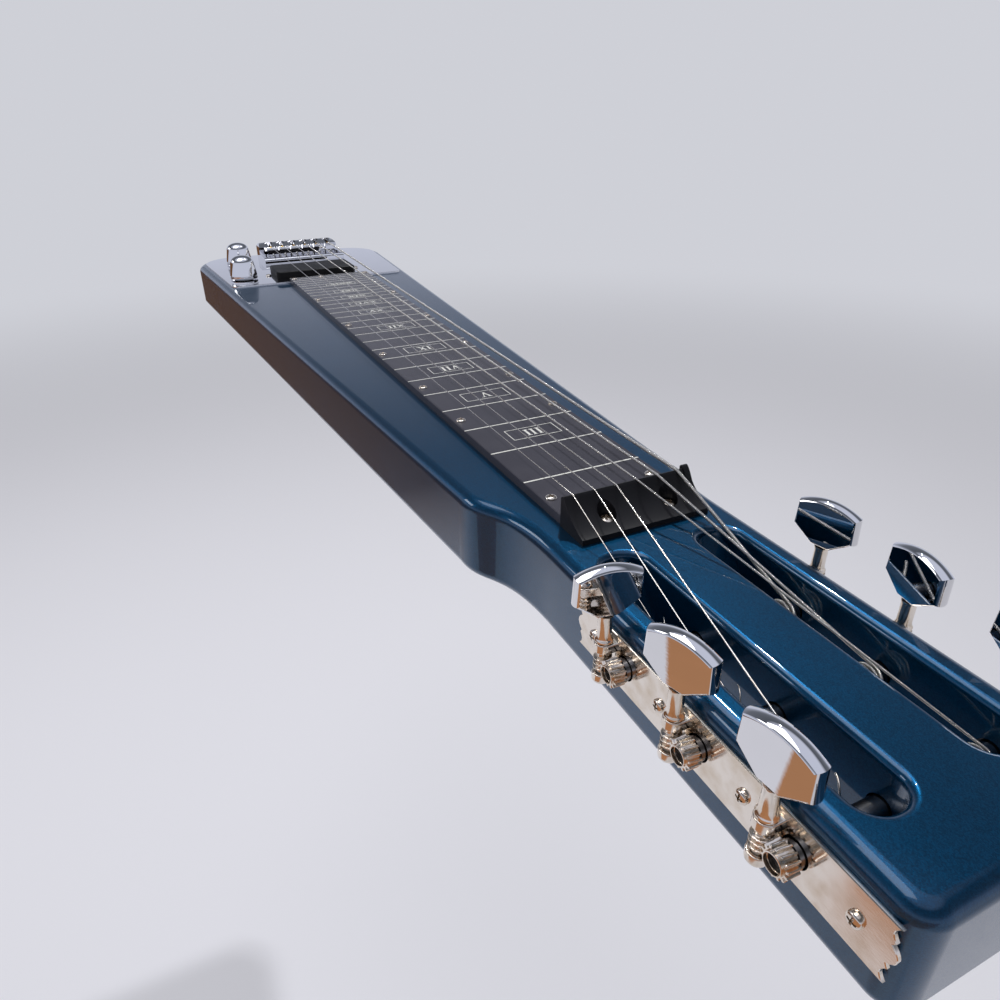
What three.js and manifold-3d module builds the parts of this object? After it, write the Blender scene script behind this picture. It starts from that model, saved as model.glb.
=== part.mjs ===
// Lap steel guitar with six strings, a 22.5 inch scale and a slotted headstock.
// Millimetres, +Z up. The origin is on the flat back under the nut's ridge.
// +X points to the headstock, and +Y to the side away from the player.

import * as THREE from "three";
import { mergeVertices } from "three/addons/utils/BufferGeometryUtils.js";
import Module from "manifold-3d";

const wasm = await Module();
wasm.setup();

// General values
const overrun = 2;
const seatGap = 0.3;
const runningClearance = 0.1;
const mergeDistance = 0.0005;
const fullTurn = 2 * Math.PI;
const quarterTurn = Math.PI / 2;
const roundControlShare = 0.5523;

// Scale and strings
const scaleLength = 571.5;
const fretCount = 29;
const fretsPerOctave = 12;
const nutStringSpacing = 9.26;
const bridgeStringSpacing = 11.3;
const nutStringCentre = -0.65;
const bridgeStringCentre = -0.2;
const stringRise = 8.9;
const stringDiameters = [0.38, 0.46, 0.6, 0.84, 1.12, 1.42];
const stringClearance = 0.35;
const stringSides = 6;

// Body
const bodyDepth = 36;
const bodyEdgeRadius = 5;
const bodyEdgeSteps = 3;
const tailBehindSaddles = 40.5;
const nearTailWidth = 97.6;
const farTailWidth = 79.8;
const nearShoulderWidth = 51.7;
const farShoulderWidth = 45.2;
const tailCornerLength = 36;
const shoulderBack = 44;
const shoulderFront = 10;
const shoulderReach = 20;
const headHalfWidth = 38.5;
const nutToHeadEnd = 162;
const headCornerRadius = 8;
const curveSteps = 5;

// Headstock slots
const slotNutEnd = 23.5;
const slotHeadEnd = 139.5;
const slotInner = 12.2;
const slotOuter = 28.5;
const slotCornerRadius = 7.5;
const slotEdgeRadius = 2.6;
const slotEdgeSteps = 2;
const slotCornerSteps = 3;
const slotRampLength = 34;
const slotRampDrop = 3;
const slotRampSag = 14;

// Control cavity and its plate
const cavityFloor = 9;
const cavityFromTail = 24;
const cavityBehindPlateFront = 9;
const cavityBesidePot = 4.7;
const cavityWidth = 43;
const cavityCornerRadius = 9;
const cavityCornerSteps = 3;
const plateThickness = 1.3;
const plateInset = 6.4;
const plateAheadOfSaddles = 106.5;
const plateCornerRadius = 7;

// Fretboard
const boardThickness = 4;
const boardNutWidth = 54.2;
const boardEndWidth = 68;
const boardPlateGap = 0.5;
const fretGrooveWidth = 1;
const fretGrooveDepth = 0.3;

// Nut block
const nutHalfWidth = 27.7;
const nutTopLength = 1.9;
const nutFront = 14.3;
const nutLipHeight = 2.2;
const nutRampX = 5.5;
const nutRampHeight = 5;
const nutHoleX = 6.2;
const nutHoleNear = 12.9;
const nutHoleFar = 14.6;
const nutHoleRadius = 3.6;
const nutHoleFloor = 2;
const nutEarWidth = 2.6;
const nutEarHeight = 1.2;
const nutEarLength = 4.4;

// Bridge
const bridgeBehindSaddles = 26.5;
const bridgeAheadOfSaddles = 19.5;
const bridgeHalfWidth = 38;
const bridgeCentre = -1.6;
const bridgeBaseThickness = 2;
const bridgeHeight = 13.2;
const bridgeRimDrop = 2.5;
const bridgeEndRadius = 4;
const bridgeEndSteps = 2;
const bridgeWall = 2.6;
const bridgeNoseHeight = 5;
const bridgeNoseLength = 5;
const bridgeEdgeRadius = 3.4;
const bridgeSlotWidth = 2.6;
const bridgeSlotFloor = 5;
const bridgePocketWidth = 7.6;
const bridgePocketLength = 5;
const bridgePocketInset = 2.4;
const stringAnchorInset = 4;

// Saddles
const saddleWidth = 10.3;
const saddleLength = 9;
const saddleFrontLength = 3;
const saddleFrontDrop = 1.8;
const saddleBackDrop = 5;
const saddleCrestLength = 1.2;
const saddleTravel = 2;
const saddleRearGap = 1.5;
const stringLevelBehindSaddle = 3;

// Pickup
const pickupAheadOfSaddles = 74;
const pickupCentre = -7;
const pickupWidth = 70;
const pickupLength = 37;
const pickupRise = 3;
const pickupWall = 1.2;
const pickupCornerRadius = 3.2;
const pickupEdgeRadius = 1.4;
const pickupCornerSteps = 3;
const pickupEdgeSteps = 2;
const pickupDepth = 21;
const pickupBaseThickness = 1.6;
const pickupEarLength = 7.5;
const pickupEarWidth = 14;
const coilInset = 4;
const coilDrop = 3;

// Knobs and potentiometers
const volumeAheadOfSaddles = 76.8;
const volumePlaceShare = 0.466;
const toneAheadOfSaddles = 8.6;
const tonePlaceShare = 0.3845;
const knobRadius = 11.6;
const knobTopRadius = 9.7;
const knobHeight = 19.3;
const knobDomeHeight = 5.5;
const knobLift = 0.7;
const knobRecessRadius = 7.4;
const knobRecessDepth = 3.4;
const knobSides = 18;
const knobDomeSteps = 4;
const potRadius = 8.4;
const potDepth = 9.5;
const potBushingRadius = 4.4;
const potNutRadius = 5.8;
const potNutHeight = 1.9;
const potSides = 12;
const potLugWidth = 2.4;
const potLugLength = 6;
const potLugThickness = 1;
const potLugSpacing = 5;
const shaftRadius = 3;
const shaftRise = 11.7;
const shaftSides = 12;

// Output jack at the tail end
const jackInset = 39.6;
const jackBoreRadius = 3.3;
const jackBushingRadius = 5.4;
const jackFlangeRadius = 8.5;
const jackFlangeThickness = 2.2;
const jackDepth = 30;
const jackSides = 14;

// Tone capacitor
const capacitorRadius = 3;
const capacitorLength = 12;
const capacitorAheadOfSaddles = 11.5;

// Tuners
const postPositions = [61, 96, 131];
const postDrop = 14.5;
const postRadius = 3.6;
const postSocketDepth = 4;
const postTipRadius = 2;
const postSides = 10;
const postBoreRadius = 4.1;
const tunerPlateReach = 26.7;
const tunerPlateHalfHeight = 9;
const tunerPlateThickness = 1.2;
const tunerCuspHeight = 4.3;
const tunerCuspInset = 0.2;
const tunerHollowDepth = 2.6;
const tunerLobeHalfHeight = 3.1;
const tunerLobeInset = 0.9;
const tunerLobeReach = 3.2;
const tunerEndSteps = 3;
const gearTeeth = 14;
const gearLead = 1.8;
const gearOuterRadius = 4.4;
const gearRootRadius = 3.4;
const gearThickness = 4.4;
const gearStandoff = 5.3;
const gearHubRadius = 3.4;
const gearHubLength = 0.7;
const gearRecessRadius = 2.8;
const gearRecessDepth = 1.1;
const gearBoreRadius = 2.3;
const toothRootShare = 0.5;
const toothCrestShare = 0.22;
const wormDistance = 6.5;
const wormRootRadius = 1.9;
const wormOuterRadius = 2.9;
const wormTurns = 3.2;
const wormStepsPerTurn = 9;
const threadRootShare = 0.48;
const threadCrestShare = 0.2;
const threadFadeSteps = 3;
const journalRadius = 1.6;
const bearingClearance = 0.15;
const wormShaftSides = 9;
const earHalfWidth = 3.1;
const earRise = 4.3;
const upperEarThickness = 3.2;
const lowerEarThickness = 3.8;
const earRoundSteps = 5;
const wormFootRadius = 2.9;
const wormFootHeight = 0.9;
const wormNeckRadius = 2.3;
const wormNeckStart = 2.3;
const wormRise = 17.8;
const buttonShoulderHalfWidth = 11.1;
const buttonTopHalfWidth = 10.7;
const buttonFootHalfWidth = 3.4;
const buttonShoulderHeight = 5.5;
const buttonCornerHeight = 14.8;
const buttonArchHeight = 17.5;
const buttonThickness = 5;
const buttonBevel = 0.6;
const nearButtonAngles = [81, 16, 5];
const farButtonAngles = [13, -11, -5];

// String windings on the posts
const windingFromSlotWall = 3.9;
const windingGap = 0.5;
const windingStepsPerTurn = 24;
const windingTurns = [2, 2, 2, 2, 2, 2];
const windingEndLength = 5;

const degree = Math.PI / 180;

// Places that follow from the values above
const boardTop = bodyDepth + boardThickness;
const plateTop = bodyDepth + plateThickness;
const stringHeight = boardTop + stringRise;
const nutToTail = scaleLength + tailBehindSaddles;
const plateFront = scaleLength - plateAheadOfSaddles;
const boardEnd = plateFront - boardPlateGap;
const cavityTailEnd = nutToTail - cavityFromTail;
const pickupNear = pickupWidth / 2 - pickupCentre;
const bridgeNear = bridgeHalfWidth - bridgeCentre;
const volumeNear = pickupNear + (nearTailWidth - pickupNear) * volumePlaceShare;
const toneNear = bridgeNear + (nearTailWidth - bridgeNear) * tonePlaceShare;
const cavityNear = volumeNear + potRadius + cavityBesidePot;
const cavityFar = cavityNear - cavityWidth;
const cavityHeadEnd = plateFront + cavityBehindPlateFront;
const bridgeBack = scaleLength + bridgeBehindSaddles;
const bridgeFront = scaleLength - bridgeAheadOfSaddles;
const saddleFront = scaleLength - saddleFrontLength;
const saddleBack = saddleFront + saddleLength;
const bridgeRimFront = saddleBack + saddleTravel + saddleRearGap;
const pickupX = scaleLength - pickupAheadOfSaddles;
const pickupTop = boardTop + pickupRise;
const pickupBaseTop = pickupTop - pickupDepth;
const coilTop = pickupTop - coilDrop;
const volumeX = scaleLength - volumeAheadOfSaddles;
const toneX = scaleLength - toneAheadOfSaddles;
const shaftTop = plateTop + shaftRise;
const jackHeight = bodyDepth / 2;
const jackNear = nearTailWidth - jackInset;
const capacitorX = scaleLength - capacitorAheadOfSaddles;
const capacitorNear = (cavityFar + toneNear - potRadius) / 2;
const postHeight = bodyDepth - postDrop;
const gearMidplane = headHalfWidth + gearStandoff;
const upperEarLow = postHeight + earRise;
const upperEarHigh = upperEarLow + upperEarThickness;
const lowerEarHigh = postHeight - earRise;
const lowerEarLow = lowerEarHigh - lowerEarThickness;
const wormTop = postHeight + wormRise;
const windingStart = slotOuter - windingFromSlotWall;

// A three.js geometry as a solid that can be joined or cut
function solidOf(geometry) {
  const bare = new THREE.BufferGeometry();
  bare.setAttribute("position", geometry.getAttribute("position"));
  if (geometry.index) bare.setIndex(geometry.index);
  const merged = mergeVertices(bare, mergeDistance);
  const vertProperties = new Float32Array(merged.getAttribute("position").array);
  const triVerts = new Uint32Array(merged.index.array);
  const solid = new wasm.Manifold(new wasm.Mesh({ numProp: 3, vertProperties, triVerts }));
  if (solid.volume() >= 0) return solid;
  const reversed = triVerts.slice().reverse();
  return new wasm.Manifold(new wasm.Mesh({ numProp: 3, vertProperties, triVerts: reversed }));
}

// A solid as a three.js geometry with flat faces
function geometryOf(solid) {
  const mesh = solid.getMesh();
  const geometry = new THREE.BufferGeometry();
  geometry.setAttribute("position", new THREE.BufferAttribute(mesh.vertProperties, mesh.numProp));
  geometry.setIndex(new THREE.BufferAttribute(mesh.triVerts, 1));
  const flat = geometry.toNonIndexed();
  flat.computeVertexNormals();
  return flat;
}

function joined(solids) {
  return solids.reduce((whole, solid) => whole.add(solid));
}

function without(solid, cutters) {
  return cutters.reduce((left, cutter) => left.subtract(cutter), solid);
}

// A plan outline in X and Y, raised from one height to another
function upright(shape, bottom, top, segments = curveSteps) {
  const options = { depth: top - bottom, bevelEnabled: false, curveSegments: segments };
  const geometry = new THREE.ExtrudeGeometry(shape, options);
  geometry.translate(0, 0, bottom);
  return solidOf(geometry);
}

// A side outline in X and Z, carried across from one Y to another
function sideways(shape, fromY, toY, segments = curveSteps) {
  const options = { depth: toY - fromY, bevelEnabled: false, curveSegments: segments };
  const geometry = new THREE.ExtrudeGeometry(shape, options);
  geometry.translate(0, 0, -toY);
  geometry.rotateX(quarterTurn);
  return solidOf(geometry);
}

// An end outline in Y and Z, carried along from one X to another
function lengthways(shape, fromX, toX, segments) {
  const options = { depth: toX - fromX, bevelEnabled: false, curveSegments: segments };
  const geometry = new THREE.ExtrudeGeometry(shape, options);
  geometry.rotateX(quarterTurn);
  geometry.rotateZ(quarterTurn);
  geometry.translate(fromX, 0, 0);
  return solidOf(geometry);
}

function block(minX, maxX, minY, maxY, minZ, maxZ) {
  const geometry = new THREE.BoxGeometry(maxX - minX, maxY - minY, maxZ - minZ);
  geometry.translate((minX + maxX) / 2, (minY + maxY) / 2, (minZ + maxZ) / 2);
  return solidOf(geometry);
}

function standingRod(x, y, radius, bottom, top, sides) {
  const geometry = new THREE.CylinderGeometry(radius, radius, top - bottom, sides);
  geometry.rotateX(quarterTurn);
  geometry.translate(x, y, (bottom + top) / 2);
  return solidOf(geometry);
}

function crossRod(x, z, radius, fromY, toY, sides) {
  const geometry = new THREE.CylinderGeometry(radius, radius, Math.abs(toY - fromY), sides);
  geometry.translate(x, (fromY + toY) / 2, z);
  return solidOf(geometry);
}

function lengthRod(y, z, radius, fromX, toX, sides) {
  const geometry = new THREE.CylinderGeometry(radius, radius, Math.abs(toX - fromX), sides);
  geometry.rotateZ(quarterTurn);
  geometry.translate((fromX + toX) / 2, y, z);
  return solidOf(geometry);
}

// A profile of [radius, height] points turned about the Z axis
function turned(profile, sides) {
  const points = profile.map(([radius, height]) => new THREE.Vector2(radius, height));
  const geometry = new THREE.LatheGeometry(points, sides);
  geometry.rotateX(quarterTurn);
  return geometry;
}

// Rings with the same number of points, joined in order and closed at both ends
function loft(rings) {
  const count = rings[0].length;
  const positions = rings.flat().flatMap((point) => [point.x, point.y, point.z]);
  const index = [];
  for (let ring = 0; ring < rings.length - 1; ring++) {
    for (let i = 0; i < count; i++) {
      const low = ring * count + i;
      const next = ring * count + ((i + 1) % count);
      index.push(low, next, next + count);
      index.push(low, next + count, low + count);
    }
  }
  const ends = [rings[0], rings[rings.length - 1]];
  ends.forEach((ring, end) => {
    const centre = new THREE.Vector3();
    ring.forEach((point) => centre.add(point));
    centre.divideScalar(count);
    const hub = positions.length / 3;
    positions.push(centre.x, centre.y, centre.z);
    const first = end * (rings.length - 1) * count;
    for (let i = 0; i < count; i++) {
      const here = first + i;
      const there = first + ((i + 1) % count);
      if (end) index.push(hub, here, there);
      else index.push(hub, there, here);
    }
  });
  const geometry = new THREE.BufferGeometry();
  geometry.setAttribute("position", new THREE.Float32BufferAttribute(positions, 3));
  geometry.setIndex(index);
  return solidOf(geometry);
}

// One ring of a rectangle with round corners, grown outward by an offset
function roundedRing(box, cornerRadius, offset, z, steps) {
  const centres = [
    [box.maxX - cornerRadius, box.maxY - cornerRadius],
    [box.minX + cornerRadius, box.maxY - cornerRadius],
    [box.minX + cornerRadius, box.minY + cornerRadius],
    [box.maxX - cornerRadius, box.minY + cornerRadius],
  ];
  const ring = [];
  centres.forEach(([x, y], corner) => {
    for (let step = 0; step <= steps; step++) {
      const angle = quarterTurn * (corner + step / steps);
      const reach = cornerRadius + offset;
      ring.push(new THREE.Vector3(x + reach * Math.cos(angle), y + reach * Math.sin(angle), z));
    }
  });
  return ring;
}

function roundedBlock(box, cornerRadius, bottom, top, steps) {
  const low = roundedRing(box, cornerRadius, 0, bottom, steps);
  const high = roundedRing(box, cornerRadius, 0, top, steps);
  return loft([low, high]);
}

// A tube of one radius along a list of points
function tube(path, radius, sides) {
  const tangents = path.map((point, i) => {
    const before = path[Math.max(i - 1, 0)];
    const after = path[Math.min(i + 1, path.length - 1)];
    return after.clone().sub(before).normalize();
  });
  let normal = new THREE.Vector3(0, 0, 1);
  const rings = path.map((point, i) => {
    const tangent = tangents[i];
    normal = normal.clone().addScaledVector(tangent, -normal.dot(tangent)).normalize();
    const binormal = tangent.clone().cross(normal);
    const ring = [];
    for (let side = 0; side < sides; side++) {
      const angle = (fullTurn * side) / sides;
      const corner = point.clone();
      corner.addScaledVector(normal, radius * Math.cos(angle));
      corner.addScaledVector(binormal, radius * Math.sin(angle));
      ring.push(corner);
    }
    return ring;
  });
  return loft(rings);
}

// Finishes, one new material for each piece
function finish(color, metalness, roughness) {
  return () => new THREE.MeshStandardMaterial({ color, metalness, roughness });
}

const bluePaint = finish(0x16406b, 0.45, 0.22);
const blackSatin = finish(0x26262a, 0.1, 0.5);
const blackMatte = finish(0x17171a, 0.0, 0.65);
const chrome = finish(0xd5d8dd, 1.0, 0.08);
const nickel = finish(0xcfc4b2, 1.0, 0.22);
const steel = finish(0xb9bcc2, 1.0, 0.3);
const copperBrown = finish(0x6b3a1e, 0.4, 0.5);
const ivory = finish(0xe8e2d2, 0.0, 0.5);

const guitar = new THREE.Group();

function addPiece(name, solid, material) {
  const mesh = new THREE.Mesh(geometryOf(solid), material());
  mesh.name = name;
  guitar.add(mesh);
  return mesh;
}

// Where the strings run
function stringAtNut(number) {
  return nutStringCentre + (number - (stringDiameters.length - 1) / 2) * nutStringSpacing;
}

function stringAtBridge(number) {
  return bridgeStringCentre + (number - (stringDiameters.length - 1) / 2) * bridgeStringSpacing;
}

// Half widths of the tapered body behind the shoulder, at a distance from the nut
function bodyWidth(distance, tailWidth, shoulderWidth) {
  const run = (distance - shoulderBack) / (nutToTail - tailCornerLength - shoulderBack);
  return shoulderWidth + (tailWidth - shoulderWidth) * run;
}

// The outline from one side, round the tail and along the other side, inset all the way
function drawTail(shape, frontDistance, inset) {
  const cornerDistance = nutToTail - tailCornerLength;
  const near = bodyWidth(cornerDistance, nearTailWidth, nearShoulderWidth) - inset;
  const far = bodyWidth(cornerDistance, farTailWidth, farShoulderWidth) - inset;
  const tail = nutToTail - inset;
  const length = tailCornerLength - inset;
  const pull = length * roundControlShare;
  const controlX = -cornerDistance - pull;
  shape.lineTo(-cornerDistance, -near);
  shape.bezierCurveTo(controlX, -near, -tail, -near + length - pull, -tail, -near + length);
  shape.lineTo(-tail, far - length);
  shape.bezierCurveTo(-tail, far - length + pull, controlX, far, -cornerDistance, far);
  shape.lineTo(-frontDistance, bodyWidth(frontDistance, farTailWidth, farShoulderWidth) - inset);
}

function bodyOutline() {
  const shape = new THREE.Shape();
  const headCorner = nutToHeadEnd - headCornerRadius;
  const headSide = headHalfWidth - headCornerRadius;
  const back = -shoulderBack;
  shape.moveTo(headCorner, -headHalfWidth);
  shape.lineTo(shoulderFront, -headHalfWidth);
  const nearStart = shoulderFront - shoulderReach;
  const backControl = back + shoulderReach;
  shape.bezierCurveTo(nearStart - shoulderReach, -headHalfWidth - 2 * seatGap,
    backControl, -nearShoulderWidth, back, -nearShoulderWidth);
  drawTail(shape, shoulderBack, 0);
  shape.bezierCurveTo(backControl, farShoulderWidth,
    nearStart - shoulderReach / 2, headHalfWidth, shoulderFront, headHalfWidth);
  shape.lineTo(headCorner, headHalfWidth);
  shape.absarc(headCorner, headSide, headCornerRadius, quarterTurn, 0, true);
  shape.lineTo(nutToHeadEnd, -headSide);
  shape.absarc(headCorner, -headSide, headCornerRadius, 0, -quarterTurn, true);
  return shape;
}

function bodyBlank() {
  const options = {
    depth: bodyDepth - 2 * bodyEdgeRadius,
    bevelThickness: bodyEdgeRadius,
    bevelSize: bodyEdgeRadius,
    bevelOffset: -bodyEdgeRadius,
    bevelSegments: bodyEdgeSteps,
    curveSegments: curveSteps,
  };
  const geometry = new THREE.ExtrudeGeometry(bodyOutline(), options);
  geometry.translate(0, 0, bodyEdgeRadius);
  return solidOf(geometry);
}

// A slot's cutter flares at both faces, which leaves the slot's edges round
function slotCutter(side) {
  const box = {
    minX: slotNutEnd,
    maxX: slotHeadEnd,
    minY: Math.min(side * slotInner, side * slotOuter),
    maxY: Math.max(side * slotInner, side * slotOuter),
  };
  const rings = [];
  const addRing = (offset, z) => {
    rings.push(roundedRing(box, slotCornerRadius, offset, z, slotCornerSteps));
  };
  addRing(slotEdgeRadius, -overrun);
  for (let step = slotEdgeSteps; step >= 0; step--) {
    const angle = (quarterTurn * step) / slotEdgeSteps;
    addRing(slotEdgeRadius * (1 - Math.cos(angle)), slotEdgeRadius * (1 - Math.sin(angle)));
  }
  for (let step = 0; step <= slotEdgeSteps; step++) {
    const angle = (quarterTurn * step) / slotEdgeSteps;
    const rise = slotEdgeRadius * (1 - Math.sin(angle));
    addRing(slotEdgeRadius * (1 - Math.cos(angle)), bodyDepth - rise);
  }
  addRing(slotEdgeRadius, bodyDepth + overrun);
  const ramp = new THREE.Shape();
  const start = slotNutEnd - slotEdgeRadius - overrun;
  ramp.moveTo(start, -2 * overrun);
  ramp.lineTo(slotNutEnd + slotRampLength, -2 * overrun);
  const rampTop = bodyDepth - slotRampDrop;
  ramp.quadraticCurveTo(slotNutEnd + slotRampLength / 2, slotRampSag, slotNutEnd, rampTop);
  ramp.lineTo(start, rampTop);
  const wedge = sideways(ramp, -headHalfWidth, headHalfWidth);
  return loft(rings).subtract(wedge);
}

function cavityBox() {
  return { minX: -cavityTailEnd, maxX: -cavityHeadEnd, minY: -cavityNear, maxY: -cavityFar };
}

function pickupBox(margin) {
  return {
    minX: -pickupX - pickupLength / 2 - margin,
    maxX: -pickupX + pickupLength / 2 + margin,
    minY: pickupCentre - pickupWidth / 2 - margin,
    maxY: pickupCentre + pickupWidth / 2 + margin,
  };
}

function makeBody() {
  const cutters = [slotCutter(-1), slotCutter(1)];
  const earMargin = pickupEarLength + overrun;
  const pickupPocket = pickupBox(overrun);
  pickupPocket.minY -= earMargin;
  pickupPocket.maxY += earMargin;
  const mouth = bodyDepth + overrun;
  const steps = cavityCornerSteps;
  cutters.push(roundedBlock(cavityBox(), cavityCornerRadius, cavityFloor, mouth, steps));
  cutters.push(roundedBlock(pickupPocket, pickupCornerRadius, cavityFloor, mouth, steps));
  const jackRadius = jackBushingRadius + seatGap;
  const jackStart = -nutToTail - overrun;
  const jackEnd = overrun - cavityTailEnd;
  cutters.push(lengthRod(-jackNear, jackHeight, jackRadius, jackStart, jackEnd, jackSides));
  const socketEnd = slotInner - postSocketDepth;
  for (const x of postPositions) {
    for (const side of [-1, 1]) {
      const outside = side * (headHalfWidth + overrun);
      cutters.push(crossRod(x, postHeight, postBoreRadius, side * socketEnd, outside, postSides));
    }
  }
  return without(bodyBlank(), cutters);
}

// The board widens from the nut to its end, with a shallow groove for each fret line
function boardHalfWidth(distance) {
  return (boardNutWidth + ((boardEndWidth - boardNutWidth) * distance) / boardEnd) / 2;
}

function makeFretboard() {
  const start = nutTopLength + seatGap;
  const shape = new THREE.Shape();
  shape.moveTo(-start, -boardHalfWidth(start));
  shape.lineTo(-start, boardHalfWidth(start));
  shape.lineTo(-boardEnd, boardHalfWidth(boardEnd));
  shape.lineTo(-boardEnd, -boardHalfWidth(boardEnd));
  shape.closePath();
  const grooves = [];
  for (let fret = 1; fret <= fretCount; fret++) {
    const x = -scaleLength * (1 - 2 ** (-fret / fretsPerOctave));
    const half = fretGrooveWidth / 2;
    grooves.push(block(x - half, x + half, -boardEndWidth, boardEndWidth,
      boardTop - fretGrooveDepth, boardTop + overrun));
  }
  return without(upright(shape, bodyDepth, boardTop), grooves);
}

// The nut block has a ridge under the strings and a hollow ramp down to its front lip
function makeNut() {
  const profile = new THREE.Shape();
  profile.moveTo(-nutTopLength, bodyDepth);
  profile.lineTo(nutFront, bodyDepth);
  profile.lineTo(nutFront, bodyDepth + nutLipHeight);
  profile.quadraticCurveTo(nutRampX, bodyDepth + nutRampHeight, 0, stringHeight);
  profile.lineTo(-nutTopLength, stringHeight - nutLipHeight / 2);
  profile.closePath();
  const ear = new THREE.Shape();
  const earTop = stringHeight + nutEarHeight;
  ear.moveTo(-nutTopLength, bodyDepth + nutRampHeight);
  ear.lineTo(nutRampX - nutTopLength, bodyDepth + nutRampHeight);
  ear.lineTo(nutRampX - nutTopLength, stringHeight - nutEarLength);
  ear.quadraticCurveTo(0, earTop, -nutTopLength / 2, earTop);
  ear.quadraticCurveTo(-nutTopLength, earTop, -nutTopLength, stringHeight);
  const blank = joined([
    sideways(profile, -nutHalfWidth, nutHalfWidth),
    sideways(ear, nutHalfWidth - nutEarWidth, nutHalfWidth),
  ]);
  const cutters = [
    standingRod(nutHoleX, -nutHoleNear, nutHoleRadius, bodyDepth + nutHoleFloor,
      stringHeight + overrun, potSides),
    standingRod(nutHoleX, nutHoleFar, nutHoleRadius, bodyDepth + nutHoleFloor,
      stringHeight + overrun, potSides),
  ];
  stringDiameters.forEach((diameter, number) => {
    const radius = diameter / 2 + stringClearance;
    const y = stringAtNut(number);
    const groove = lengthRod(y, stringHeight, radius, -nutFront, nutFront, stringSides);
    cutters.push(groove);
  });
  return without(blank, cutters);
}

function makeControlPlate() {
  const shape = new THREE.Shape();
  const near = bodyWidth(plateFront, nearTailWidth, nearShoulderWidth) - plateInset;
  const far = bodyWidth(plateFront, farTailWidth, farShoulderWidth) - plateInset;
  shape.moveTo(-plateFront, far - plateCornerRadius);
  shape.lineTo(-plateFront, plateCornerRadius - near);
  shape.quadraticCurveTo(-plateFront, -near, -plateFront - plateCornerRadius, -near);
  drawTail(shape, plateFront + plateCornerRadius, plateInset);
  shape.quadraticCurveTo(-plateFront, far, -plateFront, far - plateCornerRadius);
  const bottom = bodyDepth - overrun;
  const top = plateTop + overrun;
  const holes = [
    roundedBlock(pickupBox(seatGap), pickupCornerRadius, bottom, top, pickupCornerSteps),
  ];
  for (const [x, near] of [[volumeX, volumeNear], [toneX, toneNear]]) {
    holes.push(standingRod(-x, -near, potBushingRadius + seatGap, bottom, top, potSides));
  }
  return without(upright(shape, bodyDepth, plateTop), holes);
}

// The bridge is a low tray with a tall rear rim, round at its ends, where the strings' ends sit in pockets
function makeBridge() {
  const base = plateTop;
  const top = base + bridgeHeight;
  const side = new THREE.Shape();
  side.moveTo(-bridgeBack, base);
  side.lineTo(-bridgeFront, base);
  side.lineTo(-bridgeFront, base + bridgeBaseThickness);
  side.lineTo(-bridgeFront - bridgeNoseLength, base + bridgeNoseHeight);
  side.lineTo(-bridgeRimFront, base + bridgeNoseHeight);
  side.lineTo(-bridgeRimFront, top - bridgeRimDrop);
  side.lineTo(bridgeEdgeRadius - bridgeBack, top);
  side.quadraticCurveTo(-bridgeBack, top, -bridgeBack, top - bridgeEdgeRadius);
  const left = bridgeCentre - bridgeHalfWidth;
  const right = bridgeCentre + bridgeHalfWidth;
  const floor = base + bridgeBaseThickness;
  const trayFront = overrun - bridgeFront;
  const cutters = [
    block(-bridgeRimFront, trayFront, left + bridgeWall, right - bridgeWall, floor, top + overrun),
  ];
  stringDiameters.forEach((diameter, number) => {
    const y = stringAtBridge(number);
    const half = bridgeSlotWidth / 2;
    const pocketBack = bridgePocketInset - bridgeBack;
    const pocketHalf = bridgePocketWidth / 2;
    cutters.push(block(pocketBack, overrun - bridgeRimFront, y - half, y + half,
      base + bridgeSlotFloor, top + overrun));
    cutters.push(block(pocketBack, pocketBack + bridgePocketLength, y - pocketHalf, y + pocketHalf,
      base + bridgeSlotFloor, top + overrun));
  });
  const end = new THREE.Shape();
  end.moveTo(left, base);
  end.lineTo(right, base);
  end.lineTo(right, top - bridgeEndRadius);
  end.quadraticCurveTo(right, top, right - bridgeEndRadius, top);
  end.lineTo(left + bridgeEndRadius, top);
  end.quadraticCurveTo(left, top, left, top - bridgeEndRadius);
  const ends = lengthways(end, -bridgeBack - overrun, overrun - bridgeFront, bridgeEndSteps);
  return without(sideways(side, left, right).intersect(ends), cutters);
}

// A saddle's crest carries its string in a groove, and its back falls away from it
function makeSaddle(number) {
  const bottom = plateTop + bridgeBaseThickness + seatGap;
  const radius = stringDiameters[number] / 2 + stringClearance;
  const crest = stringHeight;
  const front = -saddleFront;
  const back = -saddleBack;
  const halfCrest = saddleCrestLength / 2;
  const side = new THREE.Shape();
  side.moveTo(back, bottom);
  side.lineTo(front, bottom);
  side.lineTo(front, crest - saddleFrontDrop);
  side.quadraticCurveTo(front, crest, halfCrest - scaleLength, crest);
  side.lineTo(-halfCrest - scaleLength, crest);
  side.lineTo(back, crest - saddleBackDrop);
  const y = stringAtBridge(number);
  const half = saddleWidth / 2;
  const blank = sideways(side, y - half, y + half);
  const groove = lengthRod(y, crest, radius, back - overrun, front + overrun, stringSides);
  return without(blank, [groove]);
}

function makePickupCover() {
  const outer = pickupBox(0);
  const inner = pickupBox(-pickupWall);
  const rings = [roundedRing(outer, pickupCornerRadius, 0, pickupBaseTop + seatGap, pickupCornerSteps)];
  for (let step = 0; step <= pickupEdgeSteps; step++) {
    const angle = (quarterTurn * step) / pickupEdgeSteps;
    const z = pickupTop - pickupEdgeRadius * (1 - Math.sin(angle));
    const offset = pickupEdgeRadius * (Math.cos(angle) - 1);
    rings.push(roundedRing(outer, pickupCornerRadius, offset, z, pickupCornerSteps));
  }
  const hollow = roundedBlock(inner, pickupCornerRadius - pickupWall,
    pickupBaseTop - overrun, pickupTop - pickupWall, pickupCornerSteps);
  return without(loft(rings), [hollow]);
}

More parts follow.
